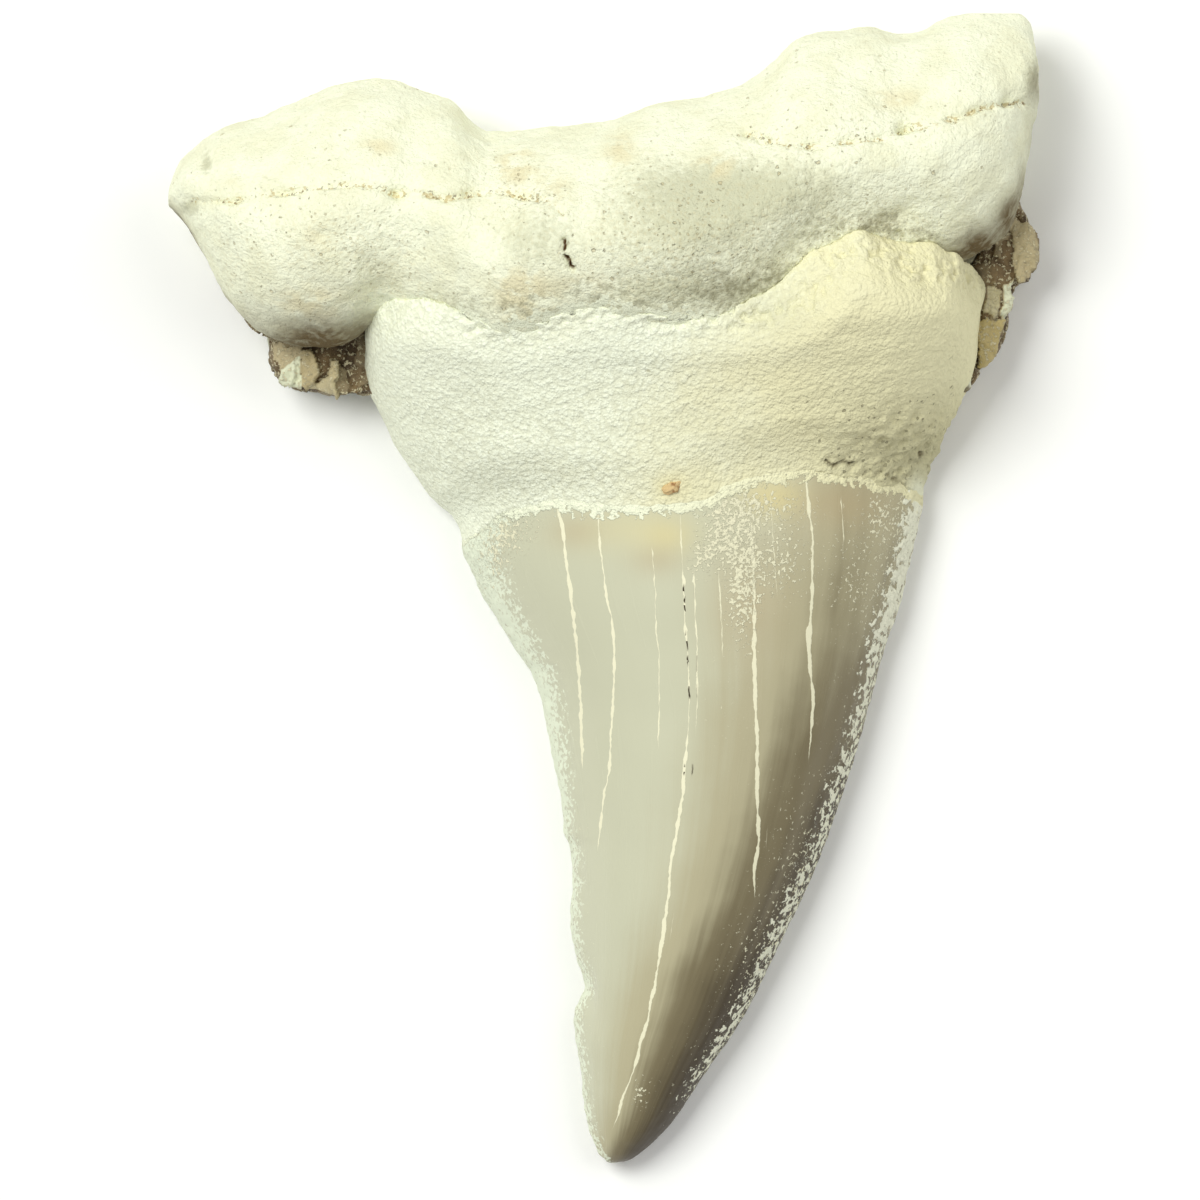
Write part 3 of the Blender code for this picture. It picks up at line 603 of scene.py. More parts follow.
def reliefOfRoot(mesh):
    places, normals = placesOf(mesh)
    x, y, z = places.T
    upper = ledge(normals[:, 2], 0.0, 0.25)
    height = uneven(places, rootRelief["lumps"])
    beside = distanceToLines(x, y, rootRelief["furrows"]) + uneven(places, rootRelief["furrowWander"])
    broken = np.clip(0.7 + 1.1 * lumps(places, 1.1, 4), 0, 1.3)
    groove = np.exp(-((beside / rootRelief["furrowWidth"]) ** 2))
    height -= upper * rootRelief["furrowDepth"] * broken * groove
    dust = upper * np.clip(1.10 - beside / rootRelief["dustReach"], 0, 1)
    split = distanceToLines(x, y, rootRelief["cracks"])
    gap = upper * np.exp(-((split / rootRelief["crackWidth"]) ** 2))
    height -= rootRelief["crackDepth"] * gap
    for pitX, pitY, radius, depth in rootRelief["pits"]:
        height -= upper * depth * np.exp(-((x - pitX) ** 2 + (y - pitY) ** 2) / radius**2)
    kinds = ("stains", "brown", "bright", "dim", "porous", "grey")
    spots = {kind: spread(x, y, rootRelief[kind]) for kind in kinds}
    # painted shade on the low sides that fall away towards the crown
    low = (1 - ledge(z, *rootRelief["brownBelow"])) * ledge(-normals[:, 1], 0.2, 0.6)
    toCrust = distanceToLine(x, y, sand["upperBorder"]) / rootRelief["fringeReach"]
    worn = 1 - ledge(z, rootRelief["wornFrom"], root["thickness"])
    putPlaces(mesh, places + normals * np.where(height > 0, height * worn, height)[:, None])
    setFields(
        mesh,
        furrow=dust * (0.35 + 0.65 * np.clip(broken, 0, 1)),
        gap=gap,
        stain=upper * spots["stains"],
        grey=upper * spots["grey"],
        porous=0.12 + upper * spots["porous"],
        recess=np.maximum(low, spots["brown"] * ledge(normals[:, 2], -0.6, -0.1)),
        bright=upper * spots["bright"],
        dim=spots["dim"] * ledge(z, 3, 6),
        fringe=upper * np.clip(1.1 - toCrust, 0, 1),
    )


reliefOfRoot(rootPiece.data)
print(len(rootPiece.data.polygons), "faces on the root")


crownRelief = dict(
    waves=[(3.0, 0.05, 4)],  # size, height, seed
    streaks=[(0.8, 0.018, 9)],  # the same, drawn out along the crown
    # cracks filled with pale rock: y of its lower end, half width at each y, then y, x down to the end
    # and on, unseen, towards the tip
    cracks=[
        (-10.1, [(0, 0.125)], [
            (4.58, -2.78), (3.33, -2.44), (1.63, -2.27), (-0.07, -2.04), (-1.76, -1.82), (-3.46, -1.65),
            (-5.16, -1.53), (-8.56, -1.36), (-10.14, -1.31), (-33, -1.0)]),
        (-14.8, [(0.3, 0.08), (-0.4, 0.14), (-1.2, 0.08), (-1.55, 0.02), (-1.9, 0.10)], [
            (4.46, -0.46), (2.48, -0.34), (1.07, -0.17), (-0.63, 0.05), (-1.88, 0.34), (-3.18, 0.45),
            (-4.6, 0.45), (-6.29, 0.39), (-8.28, 0.28), (-10.26, 0.17), (-11.67, -0.12), (-13.09, -0.29),
            (-14.79, -0.46), (-33, -0.8)]),
        (-9.1, [(0, 0.06)], [
            (2.2, 2.6), (-0.07, 2.77), (-2.33, 2.83), (-4.03, 3.0), (-5.73, 3.0), (-9.12, 2.94),
            (-18, 1.8), (-33, -0.6)]),
        (-30.6, [(-8.3, 0.05), (-9.3, 0.125), (-26, 0.125), (-30, 0.09)], [
            (4.18, 4.19), (1.63, 4.3), (-0.63, 4.41), (-2.22, 4.47), (-3.18, 4.58), (-4.6, 4.64),
            (-6.29, 4.7), (-7.71, 4.64), (-9.12, 4.53), (-10.26, 4.41), (-11.39, 4.36), (-12.81, 4.13),
            (-14.22, 3.9), (-15.35, 3.68), (-17.05, 3.56), (-18.18, 3.39), (-19.88, 3.17), (-21.3, 2.94),
            (-22.43, 2.77), (-23.28, 2.54), (-24.41, 2.37), (-25.54, 1.98), (-26.68, 1.75),
            (-27.81, 1.36), (-28.94, 0.9), (-29.79, 0.68), (-30.64, 0.34), (-33, -0.4)]),
        (-8.3, [(0, 0.05)], [
            (1.07, 4.98), (-1.2, 5.04), (-3.46, 5.15), (-5.73, 5.15), (-8.28, 5.04), (-33, 1.4)]),
        (-4.0, [(0, 0.05)], [(1.07, 6.34), (-1.48, 6.51), (-4.03, 6.56), (-33, 1.6)]),
        (-17.5, [(0, 0.13), (-14, 0.13), (-17, 0.09)], [
            (3.61, 8.21), (1.63, 8.32), (-0.63, 8.38), (-3.46, 8.38), (-6.29, 8.43), (-8.56, 8.55),
            (-10.14, 8.55), (-11.96, 8.55), (-14.22, 8.66), (-15.64, 8.43), (-16.2, 8.38), (-17.5, 8.43),
            (-33, 1.8)]),
        (-0.6, [(0, 0.04)], [
            (5.6, 9.28), (3.33, 9.4), (1.07, 9.57), (-0.63, 9.68), (-17.5, 8.8), (-33, 1.9)]),
        (-9.8, [(0, 0.135), (-7, 0.12), (-9, 0.08)], [
            (6.16, 11.32), (4.46, 11.49), (2.77, 11.66), (0.5, 11.66), (-1.76, 11.55), (-2.9, 11.48),
            (-4.6, 11.55), (-6.29, 11.72), (-7.99, 11.6), (-9.8, 11.43), (-17.5, 9.4), (-33, 2.0)]),
        (1.6, [(0, 0.04)], [(5.03, 13.3), (2.77, 13.42), (1.63, 13.36), (-17.5, 9.8), (-33, 2.1)]),
    ],
    # places where a crack is wider: x, y, reach along, more half width
    swells=[
        (4.36, 0.5, 0.28, 0.10), (4.48, -2.25, 0.35, 0.08), (4.6, -5.6, 0.5, 0.04),
        (5.04, -0.9, 0.25, 0.04), (6.5, -1.2, 0.3, 0.05), (8.38, -3.2, 0.5, 0.03),
        (11.5, -2.65, 0.5, 0.06), (8.6, -14.0, 0.6, 0.03), (3.2, -19.0, 0.9, 0.03),
        (-1.9, -1.2, 0.8, 0.03),
    ],
    # stretches of a crack that are not filled: x, lowest y, highest y
    open=[
        (4.38, -1.4, 0.1), (4.5, -3.3, -2.6), (4.58, -4.9, -3.9), (4.62, -6.1, -5.6), (4.42, -10.4, -10.1),
    ],
    # where the tone begins to darken and where it is darkest: y, x
    darkStart=[
        (6.16, 13.0), (-0.63, 10.4), (-6.29, 8.6), (-11.96, 6.8), (-17.62, 5.1), (-21.0, 3.2),
        (-24.4, 1.8), (-27.8, 1.0), (-28.9, 0.8), (-32.5, -0.2),
    ],
    darkFull=[
        (1.63, 19.5), (-3.46, 17.1), (-7.99, 14.8), (-11.96, 13.0), (-15.35, 11.6), (-19.3, 9.3),
        (-23.3, 6.6), (-26.7, 4.4), (-30.1, 3.0), (-31.8, 1.9),
    ],
    # how dark it can get: y, depth
    darkDepth=[
        (6, 0.1), (2.8, 0.16), (-0.6, 0.28), (-4, 0.48), (-7.4, 0.62), (-14.2, 0.9), (-21, 1.1), (-32.5, 1.3),
    ],
    # powder along the cutting edges: y and cover, y and reach inwards
    leftCover=[(-30, 0.85), (-14, 0.95), (-6, 1.25), (2, 1.4)],
    leftReach=[(-30, 0.8), (-14, 0.9), (-5, 1.5), (1, 1.8), (4, 2.4)],
    rightCover=[(-28, 0.60), (-5, 0.68), (1, 1.05)],
    rightReach=[(-26, 1.3), (-15, 1.6), (-2, 1.5), (1, 1.0)],
    rightInset=0.40,  # its thickest line lies this far inside the right edge
    powderHeight=0.10,
    bareTip=(-31.5, -26),  # y from and to over which powder sets in
    # powdery flecks, and from here on: x, y, reach across, reach along, strength
    flecks=[
        (7.7, 0.4, 0.9, 3.0, 1.05), (9.7, 1.5, 1.5, 1.8, 0.68), (6.9, 3.4, 1.3, 1.5, 1.15),
        (14.4, 1.1, 2.2, 2.8, 0.36), (5.6, 1.9, 0.9, 1.1, 0.8), (8.0, 4.6, 1.4, 0.9, 0.7),
        (10.2, 4.6, 1.6, 1.0, 0.5), (15.8, 4.2, 1.2, 1.4, 0.5), (1.9, -28.5, 0.5, 0.8, 0.6),
        (-5.4, 3.4, 1.6, 1.1, 0.8), (-6.5, 1.7, 1.2, 1.6, 0.8), (10.5, -15.0, 1.5, 4.0, 0.2),
        (8.2, -21.0, 1.5, 3.0, 0.22), (6.8, -6.5, 1.5, 2.5, 0.12),
    ],
    yellow=[(1.6, 3.4, 3.4, 1.3, 0.55), (3.5, 2.9, 1.4, 1.0, 0.6), (9.4, 5.2, 1.9, 1.1, 1.2)],
    tan=[
        (2.8, 1.6, 1.5, 0.9, 0.3), (-1.8, 3.2, 1.6, 1.0, 0.3), (13.4, 4.8, 2.4, 1.4, 0.35),
        (7.8, -0.8, 2.2, 3.0, 0.30),
    ],
    chips=[(-0.95, -22.7, 0.42, 1.1, 0.22)],  # here the last one is the depth
)


def crackFields(x, y):
    # sideways distance to the nearest crack, which changes sign only on a crack, and its half width there
    offset, width, sign = np.full(len(x), 9.0), np.zeros(len(x)), np.ones(len(x))
    for lowest, halves, line in crownRelief["cracks"]:
        beside = x - readCurve(line, y)
        highest = line[0][0]
        taper = min(1.2, 0.4 * (highest - lowest))
        held = ledge(y, lowest - 0.3, lowest + taper) * (1 - ledge(y, highest - 0.2, highest + 0.3))
        nearer = np.abs(beside) < np.abs(offset)
        offset = np.where(nearer, beside, offset)
        width = np.where(nearer, readSteps(halves[::-1], y) * held, width)
        sign = np.where(beside > 0, -sign, sign)
    for swellX, swellY, reach, more in crownRelief["swells"]:
        width += more * np.exp(-(((y - swellY) / reach) ** 2)) * (np.abs(x - swellX) < 0.6)
    return np.abs(offset) * sign, width


def unfilled(x, y):
    # 1 along the stretches of the cracks that stand open
    gaps = np.zeros(len(x))
    for at, low, high in crownRelief["open"]:
        along = ledge(y, low - 0.2, low) * (1 - ledge(y, high, high + 0.2))
        gaps = np.maximum(gaps, along * (np.abs(x - at) < 0.5))
    return gaps


def darkening(x, y):
    # below 0 where the enamel is palest, and levelling off towards its darkest
    start, full, deepest = (readCurve(crownRelief[k], y) for k in ("darkStart", "darkFull", "darkDepth"))
    dark = np.maximum((x - start) / (full - start), -1)
    return np.where(dark < 0, dark, deepest * np.tanh(dark / deepest))


def edgePowder(y, toLeft, toRight):
    # cover of the powder along the left and the right cutting edge
    cover = {side: readSteps(crownRelief[side + "Cover"], y) for side in ("left", "right")}
    reach = {side: readSteps(crownRelief[side + "Reach"], y) for side in ("left", "right")}
    left = cover["left"] - toLeft / reach["left"]
    right = cover["right"] - np.abs(toRight - crownRelief["rightInset"]) / reach["right"]
    return np.clip(left, -1, 1), np.clip(right * ledge(y, *crownRelief["bareTip"]), -1, 1)


def reliefOfCrown(mesh):
    places, normals = placesOf(mesh)
    x, y, z = places.T
    upper = normals[:, 2] > 0
    beyond = ledge(y, 8.0, 12.0)  # the side cusps' feet, where the cutting edges have ended
    toLeft = x - readCurve(crown["left"], y) + 9 * beyond
    toRight = readCurve(crown["right"], y) - x + 9 * beyond
    evenLeft, evenRight = evenLimit("left", y), evenLimit("right", y)
    across = (x - (evenLeft + evenRight) / 2) / np.maximum(evenRight - evenLeft, 1) * 20
    leftPowder, rightPowder = edgePowder(y, toLeft, toRight)
    flecks = spread(x, y, crownRelief["flecks"])
    flecks += (0.50 * np.exp(-toRight / 1.0) + 0.3 * np.exp(-toLeft / 0.6)) * ledge(y, -31, -26)
    toCrust = np.where(insideOutline(x, y, sandPlan), 0, distanceToLine(x, y, sand["lowerBorder"]))
    fringeReach = sand["fringe"] * (0.3 + 0.7 * ledge(x, -6.6, -5.0))
    offset, width = crackFields(x, y)

    drawnOut = np.column_stack([across, y * 0.06, z * 0.1])
    height = uneven(places, crownRelief["waves"]) + uneven(drawnOut, crownRelief["streaks"])
    clumps = np.clip(0.5 + lumps(places, 0.55, 10), 0, 1)
    powder = np.clip(np.maximum(rightPowder, leftPowder) + 0.2, 0, 1)
    height += crownRelief["powderHeight"] * powder * clumps
    for *spot, depth in crownRelief["chips"]:
        height -= depth * softSpot(x, y, *spot)
    putPlaces(mesh, places + normals * height[:, None])
    setFields(
        mesh,
        across=across,
        along=y,
        # darker right side, partly the enamel's own tone and partly painted shade, with more painted shade
        # along the right edge
        dark=darkening(x, y) + 0.45 * np.exp(-toRight / 1.6) * ledge(-y, 1, 12),
        crust=rightPowder,
        dusting=leftPowder,
        flecks=np.clip(flecks, 0, 1),
        yellow=spread(x, y, crownRelief["yellow"]) * upper,
        tan=spread(x, y, crownRelief["tan"]) * upper,
        fringe=upper * np.clip(1.15 - toCrust / fringeReach, 0, 1),
        crackOffset=offset,
        crackWidth=width,
        open=unfilled(x, y),
    )


reliefOfCrown(crownPiece.data)
print(len(crownPiece.data.polygons), "faces on the crown")


stumps = dict(
    voxel=0.09,
    chips=dict(size=0.7, seed=3, stretch=(0.8, 1.5, 1.2)),
    chipHeight=0.30,
    sideChips=0.22,  # their height on the sides
    waves=0.45,  # on the upper face
    sideWaves=[(1.3, 0.30, 13)],  # size, height, seed
    grain=[(0.35, 0.08, 12)],
    wander=[(0.5, 0.20, 11)],  # of the flakes' outlines
    # broken flakes that stand out of the stumps: rise, lean across, pallor, ochre, then the outline
    left=[
        (0.10, 0.05, 0.45, 0.0, [(-19.3, 14.2), (-17.2, 13.9), (-17.3, 13.0), (-18.3, 12.3), (-18.9, 13.0)]),
        (0.30, -0.10, 1.00, 0.0, [(-18.4, 12.4), (-17.35, 13.2), (-17.2, 11.0), (-18.3, 11.0)]),
        (0.42, 0.20, 0.40, 0.3, [(-17.3, 13.6), (-16.6, 13.5), (-16.2, 12.1), (-16.8, 11.2), (-17.25, 11.6)]),
        (0.34, 0.10, 0.62, 0.2, [(-16.9, 11.4), (-15.4, 12.2), (-15.1, 10.9), (-16.2, 10.9)]),
        (0.55, 0.30, 0.55, 0.2, [(-15.6, 13.0), (-15.2, 13.0), (-15.2, 11.8), (-15.7, 11.8)]),
    ],
    right=[
        (0.30, 0.10, 0.45, 0.1, [(22.9, 20.9), (24.3, 20.6), (24.5, 17.4), (23.1, 17.5)]),
        (0.15, 0.00, 0.95, 0.0, [
            (22.6, 17.3), (23.2, 17.4), (23.0, 16.4), (22.8, 15.0), (22.3, 15.3), (22.5, 16.3)]),
        (0.10, 0.05, 0.70, 0.1, [(21.6, 17.2), (22.3, 16.8), (22.2, 15.4), (21.4, 15.6)]),
        (0.35, -0.10, 0.42, 1.0, [(21.0, 15.2), (22.7, 15.2), (22.4, 13.6), (21.1, 12.4)]),
    ],
)


def reliefOfStump(piece, flakes):
    evenOut(piece, stumps["voxel"], 1)
    relax(piece.data, 0.5, 8)
    places, normals = placesOf(piece.data)
    x, y = places.T[:2]
    upper = ledge(normals[:, 2], 0.0, 0.4)
    wander = uneven(places, stumps["wander"])
    rise, pallor, ochre = np.zeros(len(x)), np.zeros(len(x)), np.zeros(len(x))
    for up, lean, pale, warm, outline in flakes:
        inside = insideOutline(x + wander, y + wander, outline)
        middle = sum(p[0] for p in outline) / len(outline)
        rise = np.where(inside, up + lean * (x - middle), rise)
        pallor, ochre = np.where(inside, pale, pallor), np.where(inside, warm, ochre)
    chip = cellNumbers(places, **stumps["chips"])
    height = upper * (rise + stumps["chipHeight"] * (chip - 0.6)) + uneven(places, stumps["grain"])
    sides = stumps["sideChips"] * (chip - 0.5) + uneven(places, stumps["sideWaves"])
    height += (1 - upper) * sides + upper * stumps["waves"] * lumps(places, 1.6, 15)
    # the flakes end at the edge of the upper face
    lit = ledge(normals[:, 2] + 0.5 * lumps(places, 0.6, 14), 0.1, 0.5)
    setFields(piece.data, pallor=pallor * lit, ochre=ochre * lit, cell=chip)
    putPlaces(piece.data, places + normals * height[:, None])


print("breaking the side cusps")
reliefOfStump(leftPiece, stumps["left"])
reliefOfStump(rightPiece, stumps["right"])


def sandShape():
    rings = []
    angles = np.linspace(0, 2 * math.pi, 160, endpoint=False)
    across, rise = np.cos(angles), np.sin(angles)
    edge, sides = sand["edge"], sand["sides"]
    for y in np.linspace(sides[0][0], sides[-1][0], 130):
        left, right = (readColumn(sides, k, y) for k in (1, 2))
        share, crest, fall = (readColumn(sand["form"], k, y) for k in (1, 2, 3))
        x = (left + right) / 2 + (right - left) / 2 * across
        full = np.maximum(0, 1 - np.abs(across) ** crest) ** fall
        tongue = sand["tongueHeight"] * softSpot(x, y, *sand["tongue"])
        upper = edge + (sand["height"] * share - edge + tongue) * full
        lower = edge + (edge - sand["base"]) * rise
        rings.append(np.column_stack([x, np.full(len(x), y), np.where(rise >= 0, upper, lower)]))
    crust = loft("sandyMatrix", rings)
    plan = prism("sandPlan", sandPlan, 0, 30)
    cut(crust, plan)
    remove(plan)
    evenOut(crust, 0.16, 3)
    places, normals = placesOf(crust.data)
    putPlaces(crust.data, places + normals * uneven(places, sand["swells"])[:, None])
    return crust


def bedIn(crust, tooth):
    # the crust keeps only what lies outside the tooth, or just inside its skin
    inner = copyOf(tooth, "inner")
    places, normals = placesOf(inner.data)
    putPlaces(inner.data, places - normals * sand["bed"])
    cut(crust, inner, "DIFFERENCE")
    remove(inner)


def thinOut(piece, carriers):
    # near its borders the crust shrinks onto the skin that carries it, and its very edge dips under that
    graph = bpy.context.evaluated_depsgraph_get()
    trees = [BVHTree.FromObject(carrier, graph) for carrier in carriers]
    x, y = placesOf(piece.data)[0].T[:2]
    lower = distanceToLine(x, y, sand["lowerBorder"]) / sand["lowerReach"]
    upper = distanceToLine(x, y, sand["upperBorder"]) / sand["upperReach"]
    share = np.clip(np.minimum(lower, upper), 0, 1)
    kept = 0.6 * ledge(share, 0, 1) + 0.4 * share * (2 - share)
    for k in np.flatnonzero(kept < 1):
        vertex = piece.data.vertices[k]
        hits = (tree.find_nearest(vertex.co) for tree in trees)
        place, facing = min(hits, key=lambda hit: hit[3])[:2]
        out = vertex.co - place
        if out.dot(facing) > 0:
            vertex.co = place + out * kept[k] - facing * (sand["tuck"] * (1 - kept[k]) * mm)
    relax(piece.data, 0.8 * (1 - kept), 10)


def reliefOfSand(piece):
    places, normals = placesOf(piece.data)
    x, y, z = places.T
    upper = normals[:, 2] > 0
    plain = np.clip(spread(x, y, sand["plain"]), 0, 1)
    rough = ledge(x, *sand["cornerX"]) * (1 - ledge(y, *sand["cornerY"]))
    turned = np.column_stack([x * 0.94 + y * 0.34, (y * 0.94 - x * 0.34) * 1.25, z])
    height = uneven(turned, sand["grains"]) + rough * uneven(places, sand["cornerLumps"])
    height *= (1 + sand["cornerExtra"] * rough) * (1 - 0.8 * plain)

    joint = distanceToLines(x, y, sand["joints"]) + uneven(places, sand["jointWander"])
    joint = np.exp(-((joint / sand["jointWidth"]) ** 2)) * upper
    joint *= np.clip(0.6 + 1.4 * lumps(places, 0.8, 27), 0, 1)
    height -= sand["jointDepth"] * joint

    border = distanceToLine(x, y, sand["upperBorder"]) / sand["bareReach"]
    ragged = np.clip(0.3 + 2.2 * lumps(places, 0.5, 28), 0, 1)
    height -= sand["bareDepth"] * (np.exp(-(border**2)) * upper) * ledge(x, *sand["bareX"]) * ragged
    setFields(
        piece.data,
        joint=joint,
        plain=plain,
        shade=rough * (1 - plain),
        # warmer and darker towards the right, partly the rock's own tone and partly painted shade on the side
        # turned from the light, with the pebble's rust halo
        warmth=ledge(x - 0.5 * y, -9, 8) + spread(x, y, sand["rust"]),
        dull=spread(x, y, sand["dull"]),
    )
    putPlaces(piece.data, places + normals * height[:, None])


print("laying the sandy crust")
sandPiece = sandShape()
bedIn(sandPiece, tooth)
thinOut(sandPiece, [rootPiece, crownPiece, leftPiece, rightPiece])
evenOut(sandPiece, sand["voxel"], 0)
reliefOfSand(sandPiece)
print(len(sandPiece.data.polygons), "faces on the crust")


pebble = dict(
    x=3.75,
    y=5.78,
    size=(0.55, 0.33, 0.22),
    turn=32,  # degrees
)


def makePebble():
    stone = bmesh.new()
    bmesh.ops.create_icosphere(stone, subdivisions=5, radius=1)
    mesh = bpy.data.meshes.new("pebble")
    stone.to_mesh(mesh)
    stone.free()
    ball = np.array([v.co for v in mesh.vertices])
    ball *= 1 + 0.32 * lumps(ball, 0.9, 31)[:, None] + 0.16 * lumps(ball, 0.4, 32)[:, None]
    # it rests on the crust below its middle
    tree = BVHTree.FromObject(sandPiece, bpy.context.evaluated_depsgraph_get())
    above = Vector(((pebble["x"] - drawnMiddle[0]) * mm, (pebble["y"] - drawnMiddle[1]) * mm, 0.03))
    hit = tree.ray_cast(above, Vector((0, 0, -1)))[0]
    turn = math.radians(pebble["turn"])
    wide, deep, tall = pebble["size"]
    x = ball[:, 0] * wide * math.cos(turn) - ball[:, 1] * deep * math.sin(turn) + pebble["x"]
    y = ball[:, 0] * wide * math.sin(turn) + ball[:, 1] * deep * math.cos(turn) + pebble["y"]
    putPlaces(mesh, np.column_stack([x, y, ball[:, 2] * tall + hit.z / mm]))
    return addObject("pebble", mesh)


pebblePiece = makePebble()
remove(tooth)
print(len(pebblePiece.data.polygons), "faces on the pebble")


def colour(red, green, blue):
    # a screen's colour, 0 to 255, as the linear one that shaders take
    def linear(part):
        part = part / 255
        return part / 12.92 if part <= 0.04045 else ((part + 0.055) / 1.055) ** 2.4

    return (linear(red), linear(green), linear(blue), 1.0)


def put(value, socket):
    # a fixed value, or a link from another socket
    if isinstance(value, bpy.types.NodeSocket):
        value.id_data.links.new(value, socket)
    else:
        socket.default_value = value


def addNode(tree, kind, **values):
    # a node with its settings and inputs filled in
    node = tree.nodes.new(kind)
    for name, value in values.items():
        if hasattr(node, name):
            setattr(node, name, value)
        else:
            put(value, node.inputs[name.replace("_", " ")])
    return node


def treeOf(*values):
    # the node tree that the sockets among the values are in
    return next(value.id_data for value in values if isinstance(value, bpy.types.NodeSocket))


def calc(operation, first, second, clamp=False):
    node = addNode(treeOf(first, second), "ShaderNodeMath", operation=operation, use_clamp=clamp)
    put(first, node.inputs[0])
    put(second, node.inputs[1])
    return node.outputs[0]


def times(first, second):
    return calc("MULTIPLY", first, second)


def plus(first, second):
    return calc("ADD", first, second)


def minus(first, second):
    return calc("SUBTRACT", first, second)


def greater(first, second):
    return calc("MAXIMUM", first, second)


def steps(value, low, high, toLow=0.0, toHigh=1.0):
    # a soft rise from toLow to toHigh while the value goes from low to high
    node = addNode(
        value.id_data, "ShaderNodeMapRange", interpolation_type="SMOOTHSTEP",
        Value=value, From_Min=low, From_Max=high, To_Min=toLow, To_Max=toHigh,
    )
    return node.outputs["Result"]


def mixColour(share, first, second):
    node = addNode(treeOf(share, first, second), "ShaderNodeMix", data_type="RGBA")
    for k, value in ((0, share), (6, first), (7, second)):
        put(value, node.inputs[k])
    return node.outputs[2]


def newGroup(name, inputs, outputs):
    # inputs by name with the value they start from, or None where a place goes in
    group = bpy.data.node_groups.new(name, "ShaderNodeTree")
    for label, value in inputs.items():
        kind = "NodeSocketVector" if value is None else "NodeSocketFloat"
        socket = group.interface.new_socket(name=label, in_out="INPUT", socket_type=kind)
        if value is not None:
            socket.default_value = value
    for label in outputs:
        group.interface.new_socket(name=label, in_out="OUTPUT", socket_type="NodeSocketFloat")
    return group, group.nodes.new("NodeGroupInput").outputs, group.nodes.new("NodeGroupOutput").inputs


def perSize(place, size):
    # the place counted in steps of that size
    share = calc("DIVIDE", 1.0, size)
    scaled = addNode(place.id_data, "ShaderNodeVectorMath", operation="SCALE", Scale=share)
    put(place, scaled.inputs[0])
    return scaled.outputs[0]


def bend(place, scale, amount):
    # the place moved a little this way and that
    tree = place.id_data
    bent = addNode(tree, "ShaderNodeTexNoise", Vector=place, Scale=scale, Detail=2.0)
    little = addNode(tree, "ShaderNodeVectorMath", operation="SCALE", Scale=amount)
    put(bent.outputs["Color"], little.inputs[0])
    moved = addNode(tree, "ShaderNodeVectorMath", operation="ADD")
    put(place, moved.inputs[0])
    put(little.outputs[0], moved.inputs[1])
    return moved.outputs[0]


def cellTones(cell):
    # three steady numbers for each cell
    return addNode(cell.id_data, "ShaderNodeSeparateColor", Color=cell.outputs["Color"]).outputs


def powderGroup():
    # a soft field turned into crisp clumps: cover is the share that stays covered
    group, given, made = newGroup(
        "powder", dict(Place=None, Cover=0.5, Size=0.3, Softness=0.05), ("Mask", "Height"))
    place = perSize(given["Place"], given["Size"])
    coarse = addNode(group, "ShaderNodeTexNoise", Vector=place, Scale=1.0, Detail=3.0, Roughness=0.6)
    short = minus(plus(steps(coarse.outputs["Fac"], 0.28, 0.72), given["Cover"]), 1.0)
    mask = calc("DIVIDE", short, given["Softness"], clamp=True)
    put(mask, made["Mask"])
    put(times(mask, plus(short, 0.3)), made["Height"])
    return group


def grainGroup():
    # packed grains: a height and a tone of its own for each grain
    group, given, made = newGroup(
        "grains", dict(Place=None, Size=0.4, Roundness=0.5), ("Height", "Tone"))
    place = bend(perSize(given["Place"], given["Size"]), 0.9, 0.35)
    cell = addNode(
        group, "ShaderNodeTexVoronoi", feature="SMOOTH_F1", Vector=place, Scale=1.0, Smoothness=0.35)
    put(minus(1.0, times(cell.outputs["Distance"], given["Roundness"])), made["Height"])
    put(cellTones(cell)[0], made["Tone"])
    return group


def poreGroup():
    # small open pores, some of the cells holding one
    group, given, made = newGroup(
        "pores", dict(Place=None, Spacing=0.8, Share=0.4, Radius=0.15), ("Mask",))
    place = bend(perSize(given["Place"], given["Spacing"]), 3.0, 0.5)
    cell = addNode(group, "ShaderNodeTexVoronoi", feature="F1", Vector=place, Scale=1.0)
    own = cellTones(cell)
    held = calc("LESS_THAN", own[0], given["Share"])
    size = times(given["Radius"], plus(own[1], 0.4))
    inside = calc("DIVIDE", minus(size, cell.outputs["Distance"]), 0.05, clamp=True)
    put(times(inside, held), made["Mask"])
    return group


def useGroup(group, **values):
    node = treeOf(*values.values()).nodes.new("ShaderNodeGroup")
    node.node_tree = group
    for name, value in values.items():
        put(value, node.inputs[name])
    return node.outputs


def powder(place, cover, size, softness):
    return useGroup(powderTree, Place=place, Cover=cover, Size=size, Softness=softness)


def grains(place, size):
    return useGroup(grainTree, Place=place, Size=size, Roundness=0.9)


def pores(place, spacing, share, radius):
    return useGroup(poreTree, Place=place, Spacing=spacing, Share=share, Radius=radius)["Mask"]


def newMaterial(name, roughness, specular):
    material = bpy.data.materials.new(name)
    material.use_nodes = True
    tree = material.node_tree
    shader = tree.nodes["Principled BSDF"]
    shader.inputs["Roughness"].default_value = roughness
    shader.inputs["Specular IOR Level"].default_value = specular
    return material, tree, shader.inputs


def placeInMm(tree):
    where = tree.nodes.new("ShaderNodeTexCoord")
    scaled = addNode(tree, "ShaderNodeVectorMath", operation="MULTIPLY")
    put(where.outputs["Object"], scaled.inputs[0])
    put((1 / mm, 1 / mm, 1 / mm), scaled.inputs[1])
    return scaled.outputs[0]


def field(tree, name):
    return addNode(tree, "ShaderNodeAttribute", attribute_name=name).outputs["Fac"]


def softNoise(place, size, detail=2.0):
    tree = place.id_data
    node = addNode(tree, "ShaderNodeTexNoise", Vector=place, Scale=1.0 / size, Detail=detail)
    return node.outputs["Fac"]


def paint(base, *layers):
    # colours laid over each other, each with its cover
    for cover, shade in layers:
        base = mixColour(cover, base, shade)
    return base


